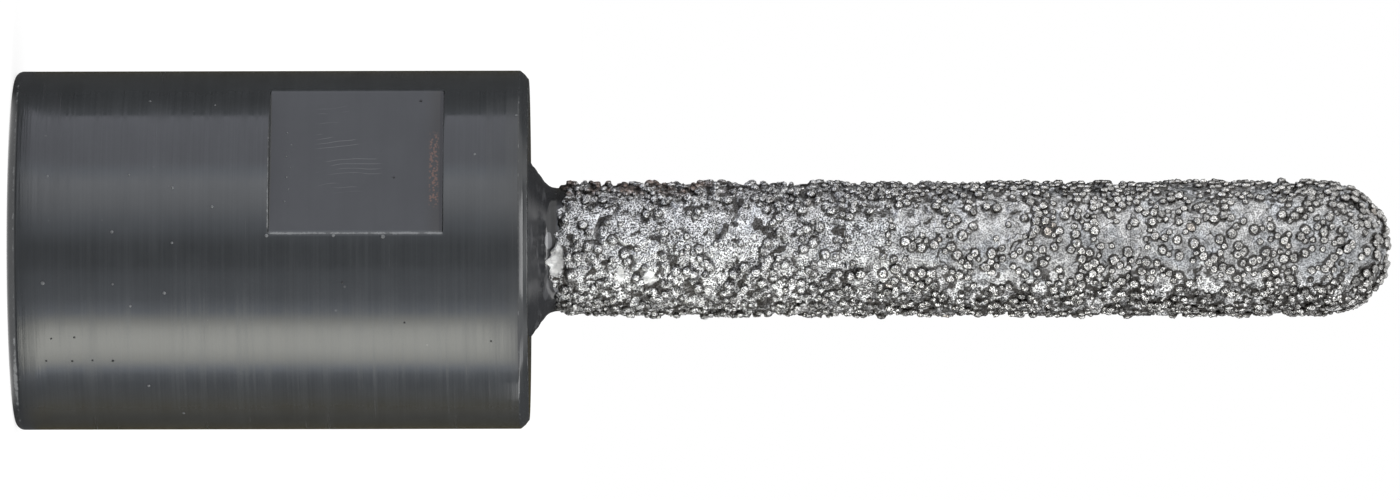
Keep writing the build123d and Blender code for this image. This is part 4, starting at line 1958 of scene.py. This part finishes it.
@dataclass
class Studio:
    """Pale floor, soft lamps, reflectors that only gloss sees, white surroundings, and the camera.

    glows is the brightness of the reflector wall, as (angle from the camera towards the picture's
    upper edge, radiance, hue).
    """

    view_angle: float = 33.7
    view_height: float = 47.71
    distance: float = 850.0
    lens: float = 313.2
    roll: float = 0.12
    axis_lift: float = 0.06
    wall_radius: float = 60.0
    wall_height: float = 170.0
    wall_foot: float = 0.01
    floor_radius: float = 4000.0
    floor_glow: float = 1.22
    floor_share: float = 0.6
    world_glow: float = 0.85
    world_share: float = 0.15
    brightest: float = 10.0
    ceiling_glow: float = 0.35
    patch_glow: float = 5.0
    patch_ahead: float = 31.0
    patch_half_depth: Span = (16.0, 22.0)
    patch_right: Span = (-53.0, -45.0)
    patch_left: Span = (56.0, 62.0)
    cap_radius: float = 12.0
    cap_height: float = 101.0
    cap_glow: float = 0.9
    rim_glow: float = 1.4
    rim_end: Span = (13.6, 15.2)
    ground_glow: float = 0.06
    ground_inner: float = 12.06
    ground_height: float = 0.02
    ground_lit: Span = (26.0, 34.0)
    finger_wall: Span = (36.0, 42.0)
    finger_glow: float = 1.66
    middle_wall: Span = (45.0, 62.0)
    middle_glow: float = 1.15
    tip_wall: Span = (70.0, 84.0)
    tip_glow: float = 1.42
    side_ahead: float = -5.0
    side_half_width: Span = (7.0, 10.0)
    side_glow: float = 2.9
    upper_side_glow: float = 0.9
    high_wall: Span = (95.0, 150.0)
    high_glow: float = 1.1
    glows: tuple = (
        (-180, 0.05, OLIVE), (-125, 0.06, OLIVE), (-108, 0.2, OLIVE), (-86, 0.4, COOL), (-79, 0.8, COOL),
        (-74, 1.9, COOL), (-67, 4.1, WARM), (-60, 5.5, WARM), (-53, 5.8, WARM), (-47, 5.2, WARM),
        (-41, 3.1, WARM), (-36, 1.6, COOL), (-28, 0.8, COOL), (-13, 0.52, COOL), (-8, 0.22, COOL),
        (3, 0.22, COOL), (15, 0.95, COOL), (27, 1.75, PLAIN), (40, 2.25, PLAIN), (46, 1.85, COOL),
        (53, 1.36, VIOLET), (87, 1.3, VIOLET), (88.5, 0.38, COOL), (98, 0.13, PLAIN), (106, 0.06, PLAIN),
        (180, 0.05, OLIVE),
    )
    lamps: tuple[SoftLamp, ...] = (
        SoftLamp("key_lamp", -60.0, 35.0, 500.0, 1200.0, 6.0),
        SoftLamp("fill_lamp", 70.0, 40.0, 700.0, 1300.0, 3.0),
    )

    @property
    def towards_camera(self) -> Vector:
        """Level direction from the bit to the camera."""
        angle = math.radians(self.view_angle)
        return Vector((math.sin(angle), -math.cos(angle), 0.0))

    @property
    def picture_up(self) -> Vector:
        """Direction of the picture's upper edge; its right edge is the bit's tip."""
        angle = math.radians(self.view_angle)
        return Vector((-math.cos(angle), -math.sin(angle), 0.0))

    def seen_from_camera(self, place: Wire) -> tuple[Wire, Wire]:
        """How far a place lies towards the camera, and towards the picture's upper edge."""
        return place.dot(self.towards_camera), place.dot(self.picture_up)

    def background_share(self, maker: NodeMaker, share: float) -> Wire:
        """That share for rays from the camera, from gloss and through glass, and nought for others.

        Args:
            maker: the tree's node maker.
            share: the share.

        Returns:
            The share for each ray.
        """
        rays = maker.add("ShaderNodeLightPath").outputs
        seen = Wire(maker, rays["Is Camera Ray"]) + rays["Is Glossy Ray"]
        return maker.math("ADD", seen, rays["Is Transmission Ray"], clamp=True) * share

    def level(self, radiance: float) -> Colour:
        """A neutral glow of that radiance, as a share of the brightest."""
        return (radiance / self.brightest,) * 3

    def add_floor(self) -> None:
        """The pale round floor, which keeps the bit's shadow."""
        made, maker = new_material("pale_floor")
        cloudy = maker.noise(maker.place(), 6.0).between(0.3, 0.7, 0.86, 0.9)
        matt = maker.add("ShaderNodeBsdfDiffuse", {"Color": maker.grey(cloudy)})
        glow = maker.add("ShaderNodeEmission", {"Color": WHITE, "Strength": self.floor_glow})
        shares = {0: self.background_share(maker, self.floor_share), 1: matt, 2: glow}
        maker.finish(maker.add("ShaderNodeMixShader", shares))
        mesh = round_mesh("floor", 96, (self.floor_radius, 0.0))
        mesh.materials.append(made)
        add_object("floor", mesh)

    def add_reflector(self, made: Material, maker: NodeMaker, glow: Wire, mesh: Mesh) -> None:
        """A glowing surface that only glossy rays see.

        Args:
            made: its material.
            maker: the material's node maker.
            glow: its brightness, as a colour that is 1 where it is brightest.
            mesh: its shape, whose name it takes.
        """
        maker.finish(maker.add("ShaderNodeEmission", {"Color": glow, "Strength": self.brightest}))
        mesh.materials.append(made)
        reflector = add_object(mesh.name, mesh)
        for rays in ("camera", "diffuse", "shadow", "transmission"):
            setattr(reflector, "visible_" + rays, False)

    def ring_of_light(self, maker: NodeMaker, place: Wire) -> Wire:
        """The light and dark stripes round the axis, at a place on a reflector.

        Args:
            maker: the reflector's node maker.
            place: the place on it.

        Returns:
            The colour there, as a share of the brightest.
        """
        ahead, aside = self.seen_from_camera(place)
        share = maker.math("ARCTAN2", aside, ahead) / (2 * math.pi) + 0.5
        stops = [
            (0.5 + angle / 360, tuple(part * radiance / self.brightest for part in hue))
            for angle, radiance, hue in self.glows
        ]
        return maker.ramp(share, stops)

    def finger_light(self, maker: NodeMaker, place: Wire, stripes: Wire) -> Wire:
        """What the wall shows the finger: plainer light than the stripes, and bright bands at its sides.

        Args:
            maker: the wall's node maker.
            place: the place on the wall.
            stripes: the stripes there.

        Returns:
            The light's level.
        """
        height = place.parts()[2]
        glows = (self.finger_glow, self.middle_glow, self.tip_glow, self.side_glow, self.upper_side_glow)
        first, middle, last, lower_side, upper_side = (glow / self.brightest for glow in glows)
        most = height.over(self.middle_wall, first, middle) + height.over(self.tip_wall, 0.0, last - middle)
        plain = maker.wire("ShaderNodeRGBToBW", {0: stripes}).at_most(most)
        ahead, aside = self.seen_from_camera(place)
        off_side = abs(ahead - self.side_ahead * MM)
        side = aside.over((-1.0, 1.0), lower_side, upper_side)
        return plain.at_least(off_side.over(self.side_half_width, 1.0, 0.0) * side)

    def add_wall(self) -> None:
        """The round reflector wall with its light and dark stripes."""
        made, maker = new_material("wall_glow")
        place = maker.place()
        height = place.parts()[2]
        stripes = self.ring_of_light(maker, place)
        plain = self.finger_light(maker, place, stripes)
        glow = maker.blend(height.over(self.finger_wall), stripes, plain)
        glow = maker.blend(height.over(self.high_wall), glow, self.level(self.high_glow))
        rims = ((self.wall_radius, self.wall_foot), (self.wall_radius, self.wall_height))
        self.add_reflector(made, maker, glow, round_mesh("reflector_wall", 120, *rims))

    def add_ground(self) -> None:
        """The wall's stripes, carried on over the floor as far as the dark ring round the head."""
        made, maker = new_material("ground_glow")
        place = maker.place()
        away = place.length()
        dark, lit = self.ground_glow / self.brightest, self.rim_glow / self.brightest
        facing = (self.seen_from_camera(place)[0] / away).between(0.4, 0.75, dark, lit)
        rim = away.over(self.rim_end, facing, dark)
        glow = maker.blend(away.over(self.ground_lit), rim, self.ring_of_light(maker, place))
        rims = ((self.ground_inner, self.ground_height), (self.wall_radius, self.ground_height))
        self.add_reflector(made, maker, glow, round_mesh("reflector_ground", 120, *rims))

    def add_ceiling(self) -> None:
        """The reflector above, with a bright patch that the head's front chamfer shows."""
        made, maker = new_material("ceiling_glow")
        ahead, aside = self.seen_from_camera(maker.place())
        depth = abs(ahead - self.patch_ahead * MM).over(self.patch_half_depth, 1.0, 0.0)
        width = aside.over(self.patch_right) * aside.over(self.patch_left, 1.0, 0.0)
        glow = maker.blend(depth * width, self.level(self.ceiling_glow), self.level(self.patch_glow))
        rim = (self.wall_radius, self.wall_height)
        self.add_reflector(made, maker, glow, round_mesh("reflector_ceiling", 48, rim))

    def add_cap(self) -> None:
        """A small plain reflector over the nose, which hides the bright patch from it."""
        made, maker = new_material("cap_glow")
        tone = maker.noise(maker.place(), 40.0).between(0.3, 0.7, 0.8, 1.2)
        glow = tone * (self.cap_glow / self.brightest)
        rim = (self.cap_radius, self.cap_height)
        self.add_reflector(made, maker, glow, round_mesh("reflector_cap", 32, rim))

    def add_lamp(self, plan: SoftLamp) -> None:
        """A soft lamp that lights without showing in gloss.

        Args:
            plan: what the lamp is like.
        """
        data = bpy.data.lights.new(plan.name, "AREA")
        data.shape = "SQUARE"
        data.size = plan.side * MM
        data.energy = plan.watts
        lamp = add_object(plan.name, data)
        aside = math.radians(plan.angle)
        level = self.towards_camera * math.cos(aside) + self.picture_up * math.sin(aside)
        rise = math.radians(plan.elevation)
        direction = level * math.cos(rise) + Vector((0.0, 0.0, 1.0)) * math.sin(rise)
        lamp.location = direction * plan.distance * MM + Vector((0.0, 0.0, self.view_height * MM))
        lamp.rotation_mode = "QUATERNION"
        lamp.rotation_quaternion = (-direction).to_track_quat("-Z", "Y")
        lamp.visible_camera = False
        lamp.visible_glossy = False

    def add_world(self) -> None:
        """White surroundings, a little weaker as a light than as a background."""
        world = bpy.data.worlds.new("white_surroundings")
        bpy.context.scene.world = world
        world.use_nodes = True
        maker = NodeMaker(world.node_tree)
        strength = self.background_share(maker, self.world_share) + self.world_glow
        white = maker.add("ShaderNodeBackground", {"Color": WHITE, "Strength": strength})
        maker.add("ShaderNodeOutputWorld", {"Surface": white}).is_active_output = True

    def add_camera(self) -> None:
        """The camera with the photograph's long lens, its right edge towards the bit's tip."""
        data = bpy.data.cameras.new("camera")
        data.sensor_width = 36.0
        data.lens = self.lens
        data.clip_start = 0.05
        data.clip_end = 50.0
        camera = add_object("camera", data)
        lean = math.radians(self.roll)
        level_right = Vector((0.0, 0.0, 1.0))
        right = level_right * math.cos(lean) - self.picture_up * math.sin(lean)
        up = level_right * math.sin(lean) + self.picture_up * math.cos(lean)
        back = self.towards_camera
        place = back * self.distance * MM - self.picture_up * self.axis_lift * MM
        place.z += self.view_height * MM
        turn = Matrix((right, up, back)).transposed()
        camera.matrix_world = Matrix.Translation(place) @ turn.to_4x4()
        bpy.context.scene.camera = camera

    def build(self) -> None:
        """Sets up the whole studio."""
        self.add_camera()
        self.add_world()
        self.add_floor()
        self.add_wall()
        self.add_ground()
        self.add_ceiling()
        self.add_cap()
        for plan in self.lamps:
            self.add_lamp(plan)
        bpy.context.scene.view_settings.view_transform = "Standard"


def main() -> None:
    """Builds the studio and the bit, piece by piece."""
    logging.basicConfig(level=logging.INFO, format="%(name)s: %(message)s")
    Studio().build()
    shared = SharedEffects()
    paint = CharcoalPaint().material(shared)
    steel = TappedSteel().material(shared)
    grit = BrazedGrit()
    head = TurnedHead()
    dust = NibPaint((0.12, 0.125, 0.13), "dusty_paint").material()
    # Near-black painted shade for the pits.
    pit_shade = NibPaint((0.008, 0.008, 0.009), "paint_pit").material()
    pieces = [head.build(paint, steel), PaintNibs(head).build(dust, pit_shade), SpindleThread().build(steel)]
    pieces += GritCoating(head).build(grit.material(shared, False), grit.material(shared, True))
    for piece in pieces:
        report(piece)


if __name__ == "__main__":
    main()
